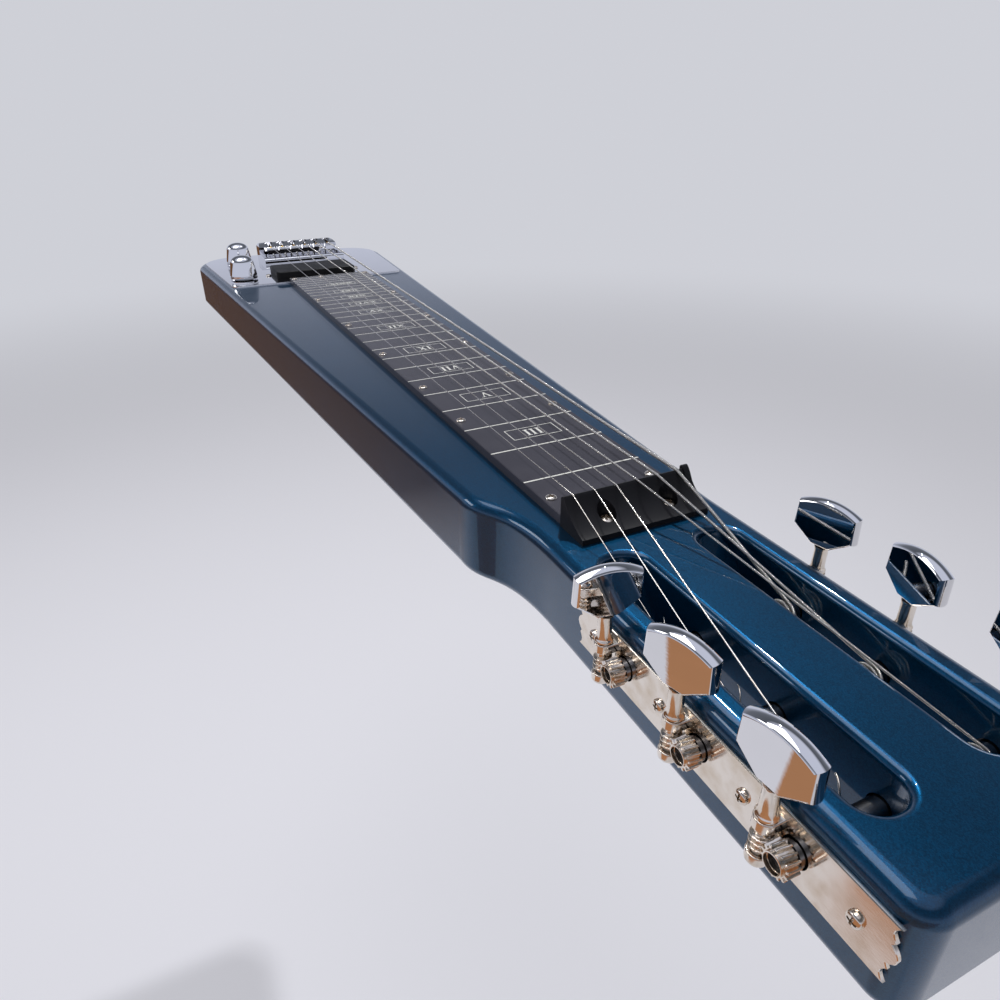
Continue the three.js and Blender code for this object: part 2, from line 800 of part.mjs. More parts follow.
function makePickupCoil() {
  const bottom = pickupBaseTop + seatGap;
  const box = pickupBox(-coilInset);
  return roundedBlock(box, pickupLength / 4, bottom, coilTop, pickupCornerSteps);
}

// The pickup's base has an ear at each end, which its height screws hold
function makePickupBase() {
  const box = pickupBox(0);
  const ears = {
    minX: -pickupX - pickupEarWidth / 2,
    maxX: -pickupX + pickupEarWidth / 2,
    minY: box.minY - pickupEarLength,
    maxY: box.maxY + pickupEarLength,
  };
  const bottom = pickupBaseTop - pickupBaseThickness;
  return joined([
    roundedBlock(box, pickupCornerRadius, bottom, pickupBaseTop, pickupCornerSteps),
    roundedBlock(ears, pickupCornerRadius, bottom, pickupBaseTop, pickupCornerSteps),
  ]);
}

function placed(geometry, x, y) {
  geometry.translate(x, y, 0);
  return solidOf(geometry);
}

function makeKnob(x, near) {
  const base = plateTop + knobLift;
  const top = base + knobHeight;
  const roof = shaftTop + seatGap;
  const bore = shaftRadius + seatGap;
  const recessTop = base + knobRecessDepth;
  const profile = [
    [0, roof],
    [bore, roof],
    [bore, recessTop],
    [knobRecessRadius, recessTop],
    [knobRecessRadius, base],
    [knobRadius, base],
  ];
  for (let step = 0; step < knobDomeSteps; step++) {
    const angle = (quarterTurn * step) / knobDomeSteps;
    const z = top - knobDomeHeight * (1 - Math.sin(angle));
    profile.push([knobTopRadius * Math.cos(angle), z]);
  }
  profile.push([0, top]);
  return placed(turned(profile, knobSides), -x, -near);
}

function makeShaft(x, near) {
  const bottom = bodyDepth - seatGap - potDepth / 2;
  return standingRod(-x, -near, shaftRadius, bottom, shaftTop, shaftSides);
}

// The can hangs under the plate, and its bushing and nut hold it there
function makePot(x, near) {
  const canTop = bodyDepth - seatGap;
  const canBottom = canTop - potDepth;
  const bushingTop = plateTop + potNutHeight + seatGap;
  const can = standingRod(-x, -near, potRadius, canBottom, canTop, potSides);
  const bushing = standingRod(-x, -near, potBushingRadius, canBottom, bushingTop, potSides);
  const nutTop = plateTop + potNutHeight;
  const nut = standingRod(-x, -near, potNutRadius, plateTop, nutTop, stringSides);
  const lugs = [-1, 0, 1].map((place) => {
    const y = -near + place * potLugSpacing;
    const outer = potRadius + potLugLength;
    return block(-x - outer, -x, y - potLugWidth / 2, y + potLugWidth / 2,
      canBottom, canBottom + potLugThickness);
  });
  const boreRadius = shaftRadius + runningClearance + runningClearance / 2;
  const boreBottom = canTop - potDepth / 2 - seatGap;
  const bore = standingRod(-x, -near, boreRadius, boreBottom, bushingTop + overrun, shaftSides);
  return without(joined([can, bushing, nut, ...lugs]), [bore]);
}

function makeJack() {
  const profile = [
    [jackBoreRadius, 0],
    [jackFlangeRadius, 0],
    [jackFlangeRadius, jackFlangeThickness],
    [jackBushingRadius, jackFlangeThickness],
    [jackBushingRadius, jackDepth],
    [jackBoreRadius, jackDepth],
    [jackBoreRadius, 0],
  ];
  const geometry = turned(profile, jackSides);
  geometry.rotateY(quarterTurn);
  geometry.translate(-nutToTail - jackFlangeThickness, -jackNear, jackHeight);
  return solidOf(geometry);
}

function makeCapacitor() {
  const bottom = cavityFloor + seatGap + capacitorRadius;
  const start = -capacitorX - capacitorLength / 2;
  const end = -capacitorX + capacitorLength / 2;
  return lengthRod(-capacitorNear, bottom, capacitorRadius, start, end, shaftSides);
}

// Winding of one string round its post, seen along the post
function windingPath(number, tail) {
  const side = number < stringDiameters.length / 2 ? -1 : 1;
  const radius = stringDiameters[number] / 2;
  const order = side < 0 ? number : stringDiameters.length - 1 - number;
  const x = postPositions[order];
  const reach = postRadius + seatGap + radius;
  const drop = postHeight - stringHeight;
  const distance = Math.hypot(x, drop);
  const lineAngle = Math.atan2(drop, x) + Math.asin(reach / distance);
  const startAngle = lineAngle + quarterTurn;
  const endAngle = Math.PI - fullTurn * (windingTurns[number] + 1);
  const turns = (startAngle - endAngle) / fullTurn;
  const steps = Math.ceil(turns * windingStepsPerTurn);
  const pitch = stringDiameters[number] + windingGap;
  const path = [];
  for (let step = 0; step <= steps; step++) {
    const angle = startAngle + ((endAngle - startAngle) * step) / steps;
    const y = side * (windingStart - (pitch * turns * step) / steps);
    const px = x + reach * Math.cos(angle);
    const pz = postHeight + reach * Math.sin(angle);
    path.push(new THREE.Vector3(px, y, pz));
  }
  const last = path[path.length - 1];
  path.push(new THREE.Vector3(last.x, last.y, last.z + tail));
  return path;
}

// Each string runs from the bridge's rim over its saddle and the nut to its post
function stringPath(number) {
  const anchorX = stringAnchorInset - bridgeBack;
  const radius = stringDiameters[number] / 2;
  const slotFloor = plateTop + bridgeSlotFloor;
  const bridgeY = stringAtBridge(number);
  const bendX = -scaleLength - stringLevelBehindSaddle;
  return [
    new THREE.Vector3(anchorX, bridgeY, slotFloor + seatGap + radius),
    new THREE.Vector3(bendX, bridgeY, stringHeight),
    new THREE.Vector3(-scaleLength, bridgeY, stringHeight),
    new THREE.Vector3(0, stringAtNut(number), stringHeight),
    ...windingPath(number, windingEndLength),
  ];
}

// Least distance between the surfaces of turns that lie next to each other
function windingClearance(number) {
  const path = windingPath(number, windingEndLength);
  const apart = windingStepsPerTurn / 2;
  let least = Infinity;
  path.forEach((point, i) => {
    path.slice(i + apart).forEach((other) => {
      least = Math.min(least, point.distanceTo(other));
    });
  });
  return least - stringDiameters[number];
}

// A scalloped plate end: a hollow, a cusp and a round lobe in the middle, then their mirror image
function drawPlateEnd(shape, endX, outward) {
  const at = (inset, height) => [endX - outward * inset, postHeight + outward * height];
  const hollowHeight = (tunerPlateHalfHeight + tunerCuspHeight) / 2;
  shape.lineTo(...at(0, -tunerPlateHalfHeight));
  shape.quadraticCurveTo(...at(tunerHollowDepth, -hollowHeight), ...at(tunerCuspInset, -tunerCuspHeight));
  shape.lineTo(...at(tunerLobeInset, -tunerLobeHalfHeight));
  shape.quadraticCurveTo(...at(-tunerLobeReach, 0), ...at(tunerLobeInset, tunerLobeHalfHeight));
  shape.lineTo(...at(tunerCuspInset, tunerCuspHeight));
  shape.quadraticCurveTo(...at(tunerHollowDepth, hollowHeight), ...at(0, tunerPlateHalfHeight));
}

// Plate that carries three tuners, with two bearing ears for each worm
function makeTunerPlate(side) {
  const strip = new THREE.Shape();
  const from = postPositions[0] - tunerPlateReach;
  const to = postPositions[postPositions.length - 1] + tunerPlateReach;
  strip.moveTo(from, postHeight - tunerPlateHalfHeight);
  drawPlateEnd(strip, to, 1);
  drawPlateEnd(strip, from, -1);
  const inner = side * headHalfWidth;
  const outer = side * (headHalfWidth + tunerPlateThickness);
  const root = side * (headHalfWidth + tunerPlateThickness / 2);
  const parts = [sideways(strip, Math.min(inner, outer), Math.max(inner, outer), tunerEndSteps)];
  const cutters = [];
  for (const x of postPositions) {
    const wormX = x - wormDistance;
    const wormY = side * gearMidplane;
    for (const [low, high] of [[lowerEarLow, lowerEarHigh], [upperEarLow, upperEarHigh]]) {
      const ear = new THREE.Shape();
      ear.moveTo(wormX - earHalfWidth, root);
      ear.lineTo(wormX - earHalfWidth, wormY);
      ear.absarc(wormX, wormY, earHalfWidth, Math.PI, 0, side > 0);
      ear.lineTo(wormX + earHalfWidth, root);
      parts.push(upright(ear, low, high, earRoundSteps));
    }
    const bearing = journalRadius + bearingClearance;
    cutters.push(standingRod(wormX, wormY, bearing, lowerEarLow - overrun,
      upperEarHigh + overrun, wormShaftSides));
    cutters.push(crossRod(x, postHeight, postBoreRadius, inner - side * overrun,
      outer + side * overrun, postSides));
  }
  return without(joined(parts), cutters);
}

// The post turns in the side wall and in a socket in the middle rib
function makePost(x, side) {
  const tip = slotInner - postSocketDepth + seatGap;
  const shoulder = gearMidplane - gearThickness / 2 - seatGap;
  const end = gearMidplane + gearThickness / 2;
  return joined([
    crossRod(x, postHeight, postRadius, side * tip, side * shoulder, postSides),
    crossRod(x, postHeight, postTipRadius, side * tip, side * end, postSides),
  ]);
}

// One ring of the gear's teeth, with a gap towards the worm at the middle of the gear
function toothRing(x, y, twist) {
  const pitch = fullTurn / gearTeeth;
  const ring = [];
  for (let tooth = 0; tooth < gearTeeth; tooth++) {
    const centre = Math.PI + (tooth + 1 / 2) * pitch + twist;
    const corners = [
      [gearRootRadius, -toothRootShare / 2],
      [gearOuterRadius, -toothCrestShare / 2],
      [gearOuterRadius, toothCrestShare / 2],
      [gearRootRadius, toothRootShare / 2],
    ];
    for (const [radius, share] of corners) {
      const angle = centre + share * pitch;
      const px = x + radius * Math.cos(angle);
      const pz = postHeight + radius * Math.sin(angle);
      ring.push(new THREE.Vector3(px, y, pz));
    }
  }
  return ring;
}

// The teeth lean at the worm's lead angle
function makeGear(x, side) {
  const pitchRadius = (gearTeeth * gearLead) / fullTurn;
  const wormPitchRadius = wormDistance - pitchRadius;
  const leadAngle = Math.atan(gearLead / (fullTurn * wormPitchRadius));
  const lean = ((gearThickness / 2) * Math.tan(leadAngle)) / pitchRadius;
  const centre = side * gearMidplane;
  const half = gearThickness / 2;
  const teeth = loft([
    toothRing(x, centre - half, lean),
    toothRing(x, centre + half, -lean),
  ]);
  const face = side * (gearMidplane + half);
  const hub = crossRod(x, postHeight, gearHubRadius, centre, face + side * gearHubLength, postSides);
  const recess = crossRod(x, postHeight, gearRecessRadius, face + side * (gearHubLength - gearRecessDepth),
    face + side * overrun, postSides);
  const bore = crossRod(x, postHeight, gearBoreRadius, centre - side * gearThickness,
    face + side * overrun, postSides);
  return without(joined([teeth, hub]), [recess, bore]);
}

// A right-hand thread whose crest meets the gear's middle at the post's height
function wormThread() {
  const steps = Math.round(wormTurns * wormStepsPerTurn);
  const inner = wormRootRadius * Math.cos(Math.PI / wormShaftSides) - runningClearance;
  const rings = [];
  for (let step = 0; step <= steps; step++) {
    const turn = (step - steps / 2) / wormStepsPerTurn;
    const angle = fullTurn * turn;
    const z = postHeight + gearLead * turn;
    const fromEnd = Math.min(step, steps - step) / threadFadeSteps;
    const crest = wormRootRadius + (wormOuterRadius - wormRootRadius) * Math.min(fromEnd, 1);
    const corners = [
      [inner, -threadRootShare / 2],
      [crest, -threadCrestShare / 2],
      [crest, threadCrestShare / 2],
      [inner, threadRootShare / 2],
    ];
    rings.push(corners.map(([radius, share]) => new THREE.Vector3(
      radius * Math.cos(angle), radius * Math.sin(angle), z + share * gearLead)));
  }
  return loft(rings);
}

function makeWorm(x, side) {
  const low = lowerEarLow - seatGap;
  const foot = upperEarHigh + seatGap;
  const profile = [
    [0, low],
    [journalRadius, low],
    [journalRadius, lowerEarHigh + seatGap],
    [wormRootRadius, lowerEarHigh + seatGap],
    [wormRootRadius, upperEarLow - seatGap],
    [journalRadius, upperEarLow - seatGap],
    [journalRadius, foot],
    [wormFootRadius, foot],
    [wormFootRadius, foot + wormFootHeight],
    [wormNeckRadius, foot + wormNeckStart],
    [wormNeckRadius, wormTop],
    [0, wormTop],
  ];
  const shaft = solidOf(turned(profile, wormShaftSides));
  const worm = joined([shaft, wormThread()]);
  return worm.translate([x - wormDistance, side * gearMidplane, 0]);
}

// The button is a bevelled slab with sloping shoulders and an arched top
function makeButton(x, side, angle) {
  const shape = new THREE.Shape();
  shape.moveTo(-buttonFootHalfWidth, 0);
  shape.lineTo(buttonFootHalfWidth, 0);
  shape.lineTo(buttonShoulderHalfWidth, buttonShoulderHeight);
  shape.lineTo(buttonTopHalfWidth, buttonCornerHeight);
  const archControl = 2 * buttonArchHeight - buttonCornerHeight;
  shape.quadraticCurveTo(0, archControl, -buttonTopHalfWidth, buttonCornerHeight);
  shape.lineTo(-buttonShoulderHalfWidth, buttonShoulderHeight);
  shape.closePath();
  const depth = buttonThickness - 2 * buttonBevel;
  const options = {
    depth,
    bevelThickness: buttonBevel,
    bevelSize: buttonBevel,
    bevelOffset: -buttonBevel,
    bevelSegments: 1,
    curveSegments: curveSteps,
  };
  const geometry = new THREE.ExtrudeGeometry(shape, options);
  geometry.translate(0, 0, -depth / 2);
  geometry.rotateX(quarterTurn);
  geometry.rotateZ(angle * degree);
  geometry.translate(x - wormDistance, side * gearMidplane, wormTop);
  return solidOf(geometry);
}

addPiece("body", makeBody(), bluePaint);
addPiece("fretboard", makeFretboard(), blackSatin);
addPiece("nut_block", makeNut(), blackMatte);
addPiece("control_plate", makeControlPlate(), chrome);
addPiece("bridge_base", makeBridge(), chrome);
addPiece("pickup_cover", makePickupCover(), blackMatte);
addPiece("pickup_coil", makePickupCoil(), copperBrown);
addPiece("pickup_base", makePickupBase(), steel);
addPiece("volume_knob", makeKnob(volumeX, volumeNear), chrome);
addPiece("volume_shaft", makeShaft(volumeX, volumeNear), steel);
addPiece("volume_pot", makePot(volumeX, volumeNear), steel);
addPiece("tone_knob", makeKnob(toneX, toneNear), chrome);
addPiece("tone_shaft", makeShaft(toneX, toneNear), steel);
addPiece("tone_pot", makePot(toneX, toneNear), steel);
addPiece("output_jack", makeJack(), nickel);
addPiece("tone_capacitor", makeCapacitor(), ivory);

stringDiameters.forEach((diameter, number) => {
  const name = number + 1;
  addPiece(`saddle_${name}`, makeSaddle(number), steel);
  addPiece(`string_${name}`, tube(stringPath(number), diameter / 2, stringSides), steel);
});

addPiece("tuner_plate_near", makeTunerPlate(-1), nickel);
addPiece("tuner_plate_far", makeTunerPlate(1), nickel);

for (const side of [-1, 1]) {
  postPositions.forEach((x, place) => {
    const name = side < 0 ? place + 1 : stringDiameters.length - place;
    const angles = side < 0 ? nearButtonAngles : farButtonAngles;
    addPiece(`string_post_${name}`, makePost(x, side), steel);
    addPiece(`tuner_gear_${name}`, makeGear(x, side), nickel);
    addPiece(`worm_shaft_${name}`, makeWorm(x, side), nickel);
    addPiece(`tuner_button_${name}`, makeButton(x, side, angles[place]), chrome);
  });
}

const clearances = stringDiameters.map((diameter, number) => windingClearance(number).toFixed(2));
console.log(`least gap of each winding to itself, mm: ${clearances.join(", ")}`);

export default guitar;
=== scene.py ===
"""Lap steel guitar with a blue flake lacquer, a black board and bright metal parts.

The frame gives every place and size. The surfaces here are worked out with numpy, in metres.
"""

import math

import bmesh
import bpy
import numpy as np
from bpy.props import FloatProperty, FloatVectorProperty
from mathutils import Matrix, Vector


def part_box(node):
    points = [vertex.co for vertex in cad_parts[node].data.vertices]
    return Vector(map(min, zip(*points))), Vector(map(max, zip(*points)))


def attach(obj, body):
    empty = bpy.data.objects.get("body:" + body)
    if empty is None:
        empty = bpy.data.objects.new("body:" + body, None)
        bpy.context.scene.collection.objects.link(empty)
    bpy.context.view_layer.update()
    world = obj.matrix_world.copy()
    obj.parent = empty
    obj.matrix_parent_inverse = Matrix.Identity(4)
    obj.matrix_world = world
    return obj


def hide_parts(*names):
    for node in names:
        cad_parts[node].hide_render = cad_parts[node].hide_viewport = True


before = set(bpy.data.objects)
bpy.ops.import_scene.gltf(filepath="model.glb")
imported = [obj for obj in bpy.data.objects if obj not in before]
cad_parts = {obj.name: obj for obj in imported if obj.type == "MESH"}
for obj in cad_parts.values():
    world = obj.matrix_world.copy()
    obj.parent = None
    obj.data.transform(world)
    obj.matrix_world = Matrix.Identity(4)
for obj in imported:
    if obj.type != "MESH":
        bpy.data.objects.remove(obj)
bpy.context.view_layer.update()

bl_info = {
    "name": "Lap Steel Guitar",
    "version": (1, 0, 0),
    "blender": (4, 5, 0),
    "location": "View3D > Sidebar > Lap Steel",
    "description": "Dresses the frame of a lap steel guitar with its surfaces and finishes",
    "category": "Object",
}

# Places and sizes are in millimetres and turns in degrees, up to where a mesh is made
MM = 0.001
ROOT = "guitar"
STRINGS = range(1, 7)

SCALE = 571.5
DIAMETERS = [0.38, 0.46, 0.6, 0.84, 1.12, 1.42]
STRING_HEIGHT = 48.9
SADDLE_CREST = -SCALE
NUT_CENTRE = -0.65
NUT_SPACING = 9.26
BRIDGE_CENTRE = -0.2
BRIDGE_SPACING = 11.3
BUTTON_TURNS = [81, 16, 5, -5, -11, 13]


# Shader maths


class Wire:
    """One output socket. The usual operators on it add Math nodes."""

    def __init__(self, finish, socket):
        self.finish = finish
        self.socket = socket

    def __add__(self, other):
        return self.finish.math("ADD", self, other)

    def __radd__(self, other):
        return self.finish.math("ADD", other, self)

    def __sub__(self, other):
        return self.finish.math("SUBTRACT", self, other)

    def __rsub__(self, other):
        return self.finish.math("SUBTRACT", other, self)

    def __mul__(self, other):
        return self.finish.math("MULTIPLY", self, other)

    def __rmul__(self, other):
        return self.finish.math("MULTIPLY", other, self)

    def __pow__(self, other):
        return self.finish.math("POWER", self, other)


class Finish:
    """A node tree that is being filled, of a material or of the world."""

    def __init__(self, tree):
        self.tree = tree
        tree.nodes.clear()

    def put(self, socket, value):
        if isinstance(value, Wire):
            self.tree.links.new(value.socket, socket)
        elif isinstance(value, (tuple, list)) and socket.type == "RGBA" and len(value) == 3:
            socket.default_value = (*value, 1.0)
        else:
            socket.default_value = value

    def node(self, kind, settings=None, inputs=None):
        """Adds a node. Its settings come first, and stops fill a ramp with (place, value) pairs."""
        node = self.tree.nodes.new("ShaderNode" + kind)
        for key, value in (settings or {}).items():
            if key == "stops":
                elements = node.color_ramp.elements
                for element, (place, level) in zip(elements, value[:2]):
                    element.position = place
                    element.color = (level, level, level, 1.0)
                for place, level in value[2:]:
                    elements.new(place).color = (level, level, level, 1.0)
            else:
                setattr(node, key, value)
        for key, value in (inputs or {}).items():
            self.put(node.inputs[key], value)
        return node

    def wire(self, kind, output, settings=None, inputs=None):
        return Wire(self, self.node(kind, settings, inputs).outputs[output])

    def math(self, operation, *values):
        return self.wire("Math", 0, {"operation": operation}, dict(enumerate(values)))

    def place(self, stretch=(1.0, 1.0, 1.0), source="Object"):
        where = self.wire("TexCoord", source)
        if stretch == (1.0, 1.0, 1.0):
            return where
        return self.wire("Mapping", "Vector", {}, {"Vector": where, "Scale": stretch})

    def noise(self, scale, detail=3.0, stretch=(1.0, 1.0, 1.0)):
        inputs = {"Vector": self.place(stretch), "Scale": scale, "Detail": detail}
        return self.wire("TexNoise", 0, {}, inputs)

    def cells(self, scale):
        return self.wire("TexVoronoi", "Color", {}, {"Vector": self.place(), "Scale": scale})

    def ramp(self, value, stops):
        return self.wire("ValToRGB", "Color", {"stops": stops}, {"Fac": value})

    def blend(self, factor, first, second):
        return self.wire("Mix", 2, {"data_type": "RGBA"}, {0: factor, 6: first, 7: second})

    def between(self, value, *limits, **settings):
        """Maps a value from between two limits to 0 to 1, or to between two more limits."""
        return self.wire("MapRange", 0, settings, dict(enumerate([value, *limits])))

    def mix(self, factor, first, second):
        return self.wire("MixShader", 0, {}, {0: factor, 1: first, 2: second})

    def bump(self, height, distance):
        return self.wire("Bump", "Normal", {}, {"Height": height, "Distance": distance})

    def close(self, shader, output="Material"):
        self.node("Output" + output, {}, {"Surface": shader})


def material(name, build, *values):
    """A new material whose nodes the build function fills. It gets back the shader's inputs."""
    made = bpy.data.materials.new(name)
    made.use_nodes = True
    f = Finish(made.node_tree)
    f.close(f.wire("BsdfPrincipled", 0, {}, build(f, *values)))
    return made


def scaled(colour, share):
    return tuple(channel * share for channel in colour)


def lacquer_nodes(f, colour, flake, depth):
    grain = f.wire("SeparateColor", 0, {}, {"Color": f.cells(3400.0)})
    cloud = f.noise(18.0, 2.0)
    tone = f.blend(grain * flake + cloud * (1.0 - flake), colour, scaled(colour, depth))
    dust = f.noise(240.0, 4.0)
    return {
        "Base Color": tone,
        "Metallic": 0.8,
        "Roughness": grain * 0.08 + 0.3,
        "Specular IOR Level": 0.0,
        "Coat Weight": 0.95 - dust ** 6.0,
        "Coat Roughness": 0.03,
        "Coat IOR": 1.5,
        "Normal": f.bump(f.noise(900.0, 2.0) + grain * 0.5, 0.00001),
    }


def chrome_nodes(f, colour, polish):
    smear = f.noise(70.0, 5.0, (1.0, 2.2, 1.0))
    fine = f.noise(1300.0, 2.0, (0.25, 1.0, 1.0))
    return {
        "Base Color": f.blend(smear, colour, scaled(colour, 0.93)),
        "Metallic": 1.0,
        "Roughness": f.ramp(smear, [(0.45, polish), (0.8, polish * 2.6)]),
        "Normal": f.bump(fine, 0.0000015),
    }


def nickel_nodes(f, colour, polish):
    stain = f.noise(160.0, 5.0)
    fine = f.noise(2200.0, 2.0, (0.3, 1.0, 1.0))
    dull = (colour[0] * 0.8, colour[1] * 0.74, colour[2] * 0.66)
    return {
        "Base Color": f.blend(f.ramp(stain, [(0.42, 0.0), (0.75, 1.0)]), colour, dull),
        "Metallic": 1.0,
        "Roughness": stain * 0.14 + polish,
        "Normal": f.bump(fine, 0.000004),
    }


def satin_nodes(f, colour, roughness, grain, gloss=0.5):
    spread = f.noise(45.0, 5.0)
    pores = f.noise(1500.0, 3.0, (0.35, 1.0, 1.0))
    pale = tuple(channel * 1.7 + 0.004 for channel in colour)
    return {
        "Base Color": f.blend(spread * 0.6, colour, pale),
        "Roughness": f.ramp(spread, [(0.3, roughness - 0.06), (0.75, roughness + 0.08)]),
        "Specular IOR Level": gloss,
        "Normal": f.bump(pores, grain),
    }


def ink_nodes(f, colour):
    wear = f.noise(700.0, 4.0)
    return {
        "Base Color": f.blend(f.ramp(wear, [(0.45, 0.0), (0.7, 1.0)]), colour, scaled(colour, 0.72)),
        "Roughness": wear * 0.2 + 0.35,
    }


def wound_nodes(f, colour, pitch):
    along = f.wire("SeparateXYZ", 0, {}, {"Vector": f.place(source="UV")})
    ridge = f.math("ABSOLUTE", f.math("SINE", along * (math.pi / pitch)))
    tarnish = f.noise(300.0, 4.0)
    return {
        "Base Color": f.blend(tarnish * 0.7, colour, scaled(colour, 0.7)),
        "Metallic": 1.0,
        "Roughness": tarnish * 0.2 + 0.2,
        "Normal": f.bump(ridge, pitch * 0.35),
    }


# Shapes: a shape is a pair of an array of points and a list of faces, and an outline runs anticlockwise


def sheet(rings, caps=True):
    """Rings of points joined in order. Point (i, j) meets (i, j + 1), (i + 1, j + 1) and (i + 1, j)."""
    rows, cols = rings.shape[:2]
    i, j = np.meshgrid(np.arange(rows - 1), np.arange(cols), indexing="ij")
    k = (j + 1) % cols
    quads = np.stack([i * cols + j, i * cols + k, (i + 1) * cols + k, (i + 1) * cols + j], -1)
    faces = quads.reshape(-1, 4).tolist()
    if caps:
        faces.append(list(range(cols - 1, -1, -1)))
        faces.append(list(range((rows - 1) * cols, rows * cols)))
    return rings.reshape(-1, 3), faces


def join(shapes):
    """Several shapes as one, each with its face numbers moved past the points before it."""
    starts = np.cumsum([0] + [len(points) for points, _ in shapes])
    points = np.concatenate([points for points, _ in shapes])
    faces = [[n + int(start) for n in face] for start, (_, some) in zip(starts, shapes) for face in some]
    return points, faces


def shifted(shape, x=0.0, y=0.0, z=0.0, turn=0.0):
    """A shape turned about Z by an angle and then moved."""
    points, faces = shape
    c, s = math.cos(turn), math.sin(turn)
    spun = points @ np.array([[c, s, 0.0], [-s, c, 0.0], [0.0, 0.0, 1.0]])
    return spun + np.array([x, y, z]), faces


def facing(shape, axis):
    """A shape built along +Z laid along another axis by a turn that keeps its outside outside."""
    turns = {
        "+X": [[0, 0, 1], [1, 0, 0], [0, 1, 0]],
        "-X": [[0, 0, -1], [-1, 0, 0], [0, 1, 0]],
        "+Y": [[-1, 0, 0], [0, 0, 1], [0, 1, 0]],
        "-Y": [[1, 0, 0], [0, 0, -1], [0, 1, 0]],
        "-Z": [[1, 0, 0], [0, -1, 0], [0, 0, -1]],
    }
    points, faces = shape
    return points @ np.array(turns[axis], float).T, faces


def lathe(profile, sides=64):
    """Point (i, j) is radius i at angle j, at height i. The profile runs up the outside."""
    radius, height = np.array(profile, float).T
    angle = np.linspace(0.0, 2 * math.pi, sides, endpoint=False)
    x = radius[:, None] * np.cos(angle)
    y = radius[:, None] * np.sin(angle)
    z = np.repeat(height[:, None], sides, axis=1)
    ring = tuple(profile[0]) == tuple(profile[-1])
    return sheet(np.stack([x, y, z], -1), not ring)


def line(start, end, steps=1):
    """Points that divide a straight line evenly, without its end."""
    t = np.linspace(0.0, 1.0, steps, endpoint=False)[:, None]
    return np.array(start, float) * (1 - t) + np.array(end, float) * t


def arc(centre, radius, start, end, steps):
    """Points at a radius from a centre, from one angle in degrees to another, both ends included."""
    angle = np.radians(np.linspace(start, end, steps + 1))
    return np.array(centre, float) + radius * np.stack([np.cos(angle), np.sin(angle)], -1)


def bezier(points, steps):
    """A curve of its control points, without its end: their sum, weighted by Bernstein polynomials."""
    t = np.linspace(0.0, 1.0, steps, endpoint=False)[:, None]
    n = len(points) - 1
    return sum(math.comb(n, k) * (1 - t) ** (n - k) * t**k * np.array(p, float) for k, p in enumerate(points))


def inset(outline, distance):
    """Each corner moves along the bisector of its edges, so that both edges move inwards by the distance."""
    edge = np.roll(outline, -1, axis=0) - outline
    edge /= np.linalg.norm(edge, axis=1, keepdims=True)
    after = np.stack([-edge[:, 1], edge[:, 0]], -1)
    before = np.roll(after, 1, axis=0)
    return outline + distance * (after + before) / (1 + np.sum(after * before, axis=1, keepdims=True))


def slab(outline, profile):
    """A profile of (inset, height) pairs carried round an outline, with a flat face at each end."""
    rings = [np.column_stack([inset(outline, d), np.full(len(outline), z)]) for d, z in profile]
    return sheet(np.array(rings))


def edged(bottom, top, lower=0.0, upper=0.0, steps=6):
    """A slab's profile with a quarter circle of the lower radius at its foot and of the upper at its top."""
    angle = np.radians(np.linspace(0.0, 90.0, steps + 1))
    inward, rise = 1 - np.sin(angle), 1 - np.cos(angle)
    foot = zip(lower * inward, bottom + lower * rise) if lower else [(0.0, bottom)]
    head = zip(upper * rise, top - upper * inward) if upper else [(0.0, top)]
    return [*foot, *head]


def rectangle(min_x, max_x, min_y, max_y, radius=0.0, steps=8):
    """A rectangle's outline with quarter-circle corners."""
    if not radius:
        return np.array([(max_x, max_y), (min_x, max_y), (min_x, min_y), (max_x, min_y)])
    right, left, back, front = max_x - radius, min_x + radius, max_y - radius, min_y + radius
    corners = [(right, back), (left, back), (left, front), (right, front)]
    rounds = [arc(corner, radius, 90 * k, 90 * k + 90, steps) for k, corner in enumerate(corners)]
    return np.concatenate(rounds)


def prism(outline, bottom, top):
    return slab(outline, [(0.0, bottom), (0.0, top)])


def across(outline, start, end):
    """An outline in X and Z carried along Y from one place to another."""
    return facing(prism(outline, -end, -start), "-Y")


def box_shape(min_x, max_x, min_y, max_y, min_z, max_z):
    return prism(rectangle(min_x, max_x, min_y, max_y), min_z, max_z)


# Pieces


def mesh_of(name, shape):
    """A mesh in metres from a shape in millimetres, with points that lie on each other made one."""
    points, faces = shape
    mesh = bpy.data.meshes.new(name)
    mesh.from_pydata(points * MM, [], faces)
    work = bmesh.new()
    work.from_mesh(mesh)
    bmesh.ops.remove_doubles(work, verts=work.verts, dist=1e-7)
    work.to_mesh(mesh)
    work.free()
    return mesh


def scratch_object(source):
    mesh = source if isinstance(source, bpy.types.Mesh) else mesh_of("step", source)
    made = bpy.data.objects.new("step", mesh)
    bpy.context.scene.collection.objects.link(made)
    return made


def shaped(base, *steps):
    """The base after each step, a pair of a Boolean operation and its source, as a mesh."""
    work = scratch_object(base)
    tools = []
    for operation, source in steps:
        tools.append(scratch_object(source))
        modifier = work.modifiers.new("step", "BOOLEAN")
        modifier.operation = operation
        modifier.solver = "EXACT"
        modifier.object = tools[-1]
    bpy.context.view_layer.update()
    graph = bpy.context.evaluated_depsgraph_get()
    mesh = bpy.data.meshes.new_from_object(work.evaluated_get(graph))
    for thing in [work, *tools]:
        bpy.data.objects.remove(thing)
    if not mesh.polygons:
        raise RuntimeError("a shape came out empty")
    return mesh


def less(*cuts):
    """Steps that cut each shape away."""
    return [("DIFFERENCE", cut) for cut in cuts]


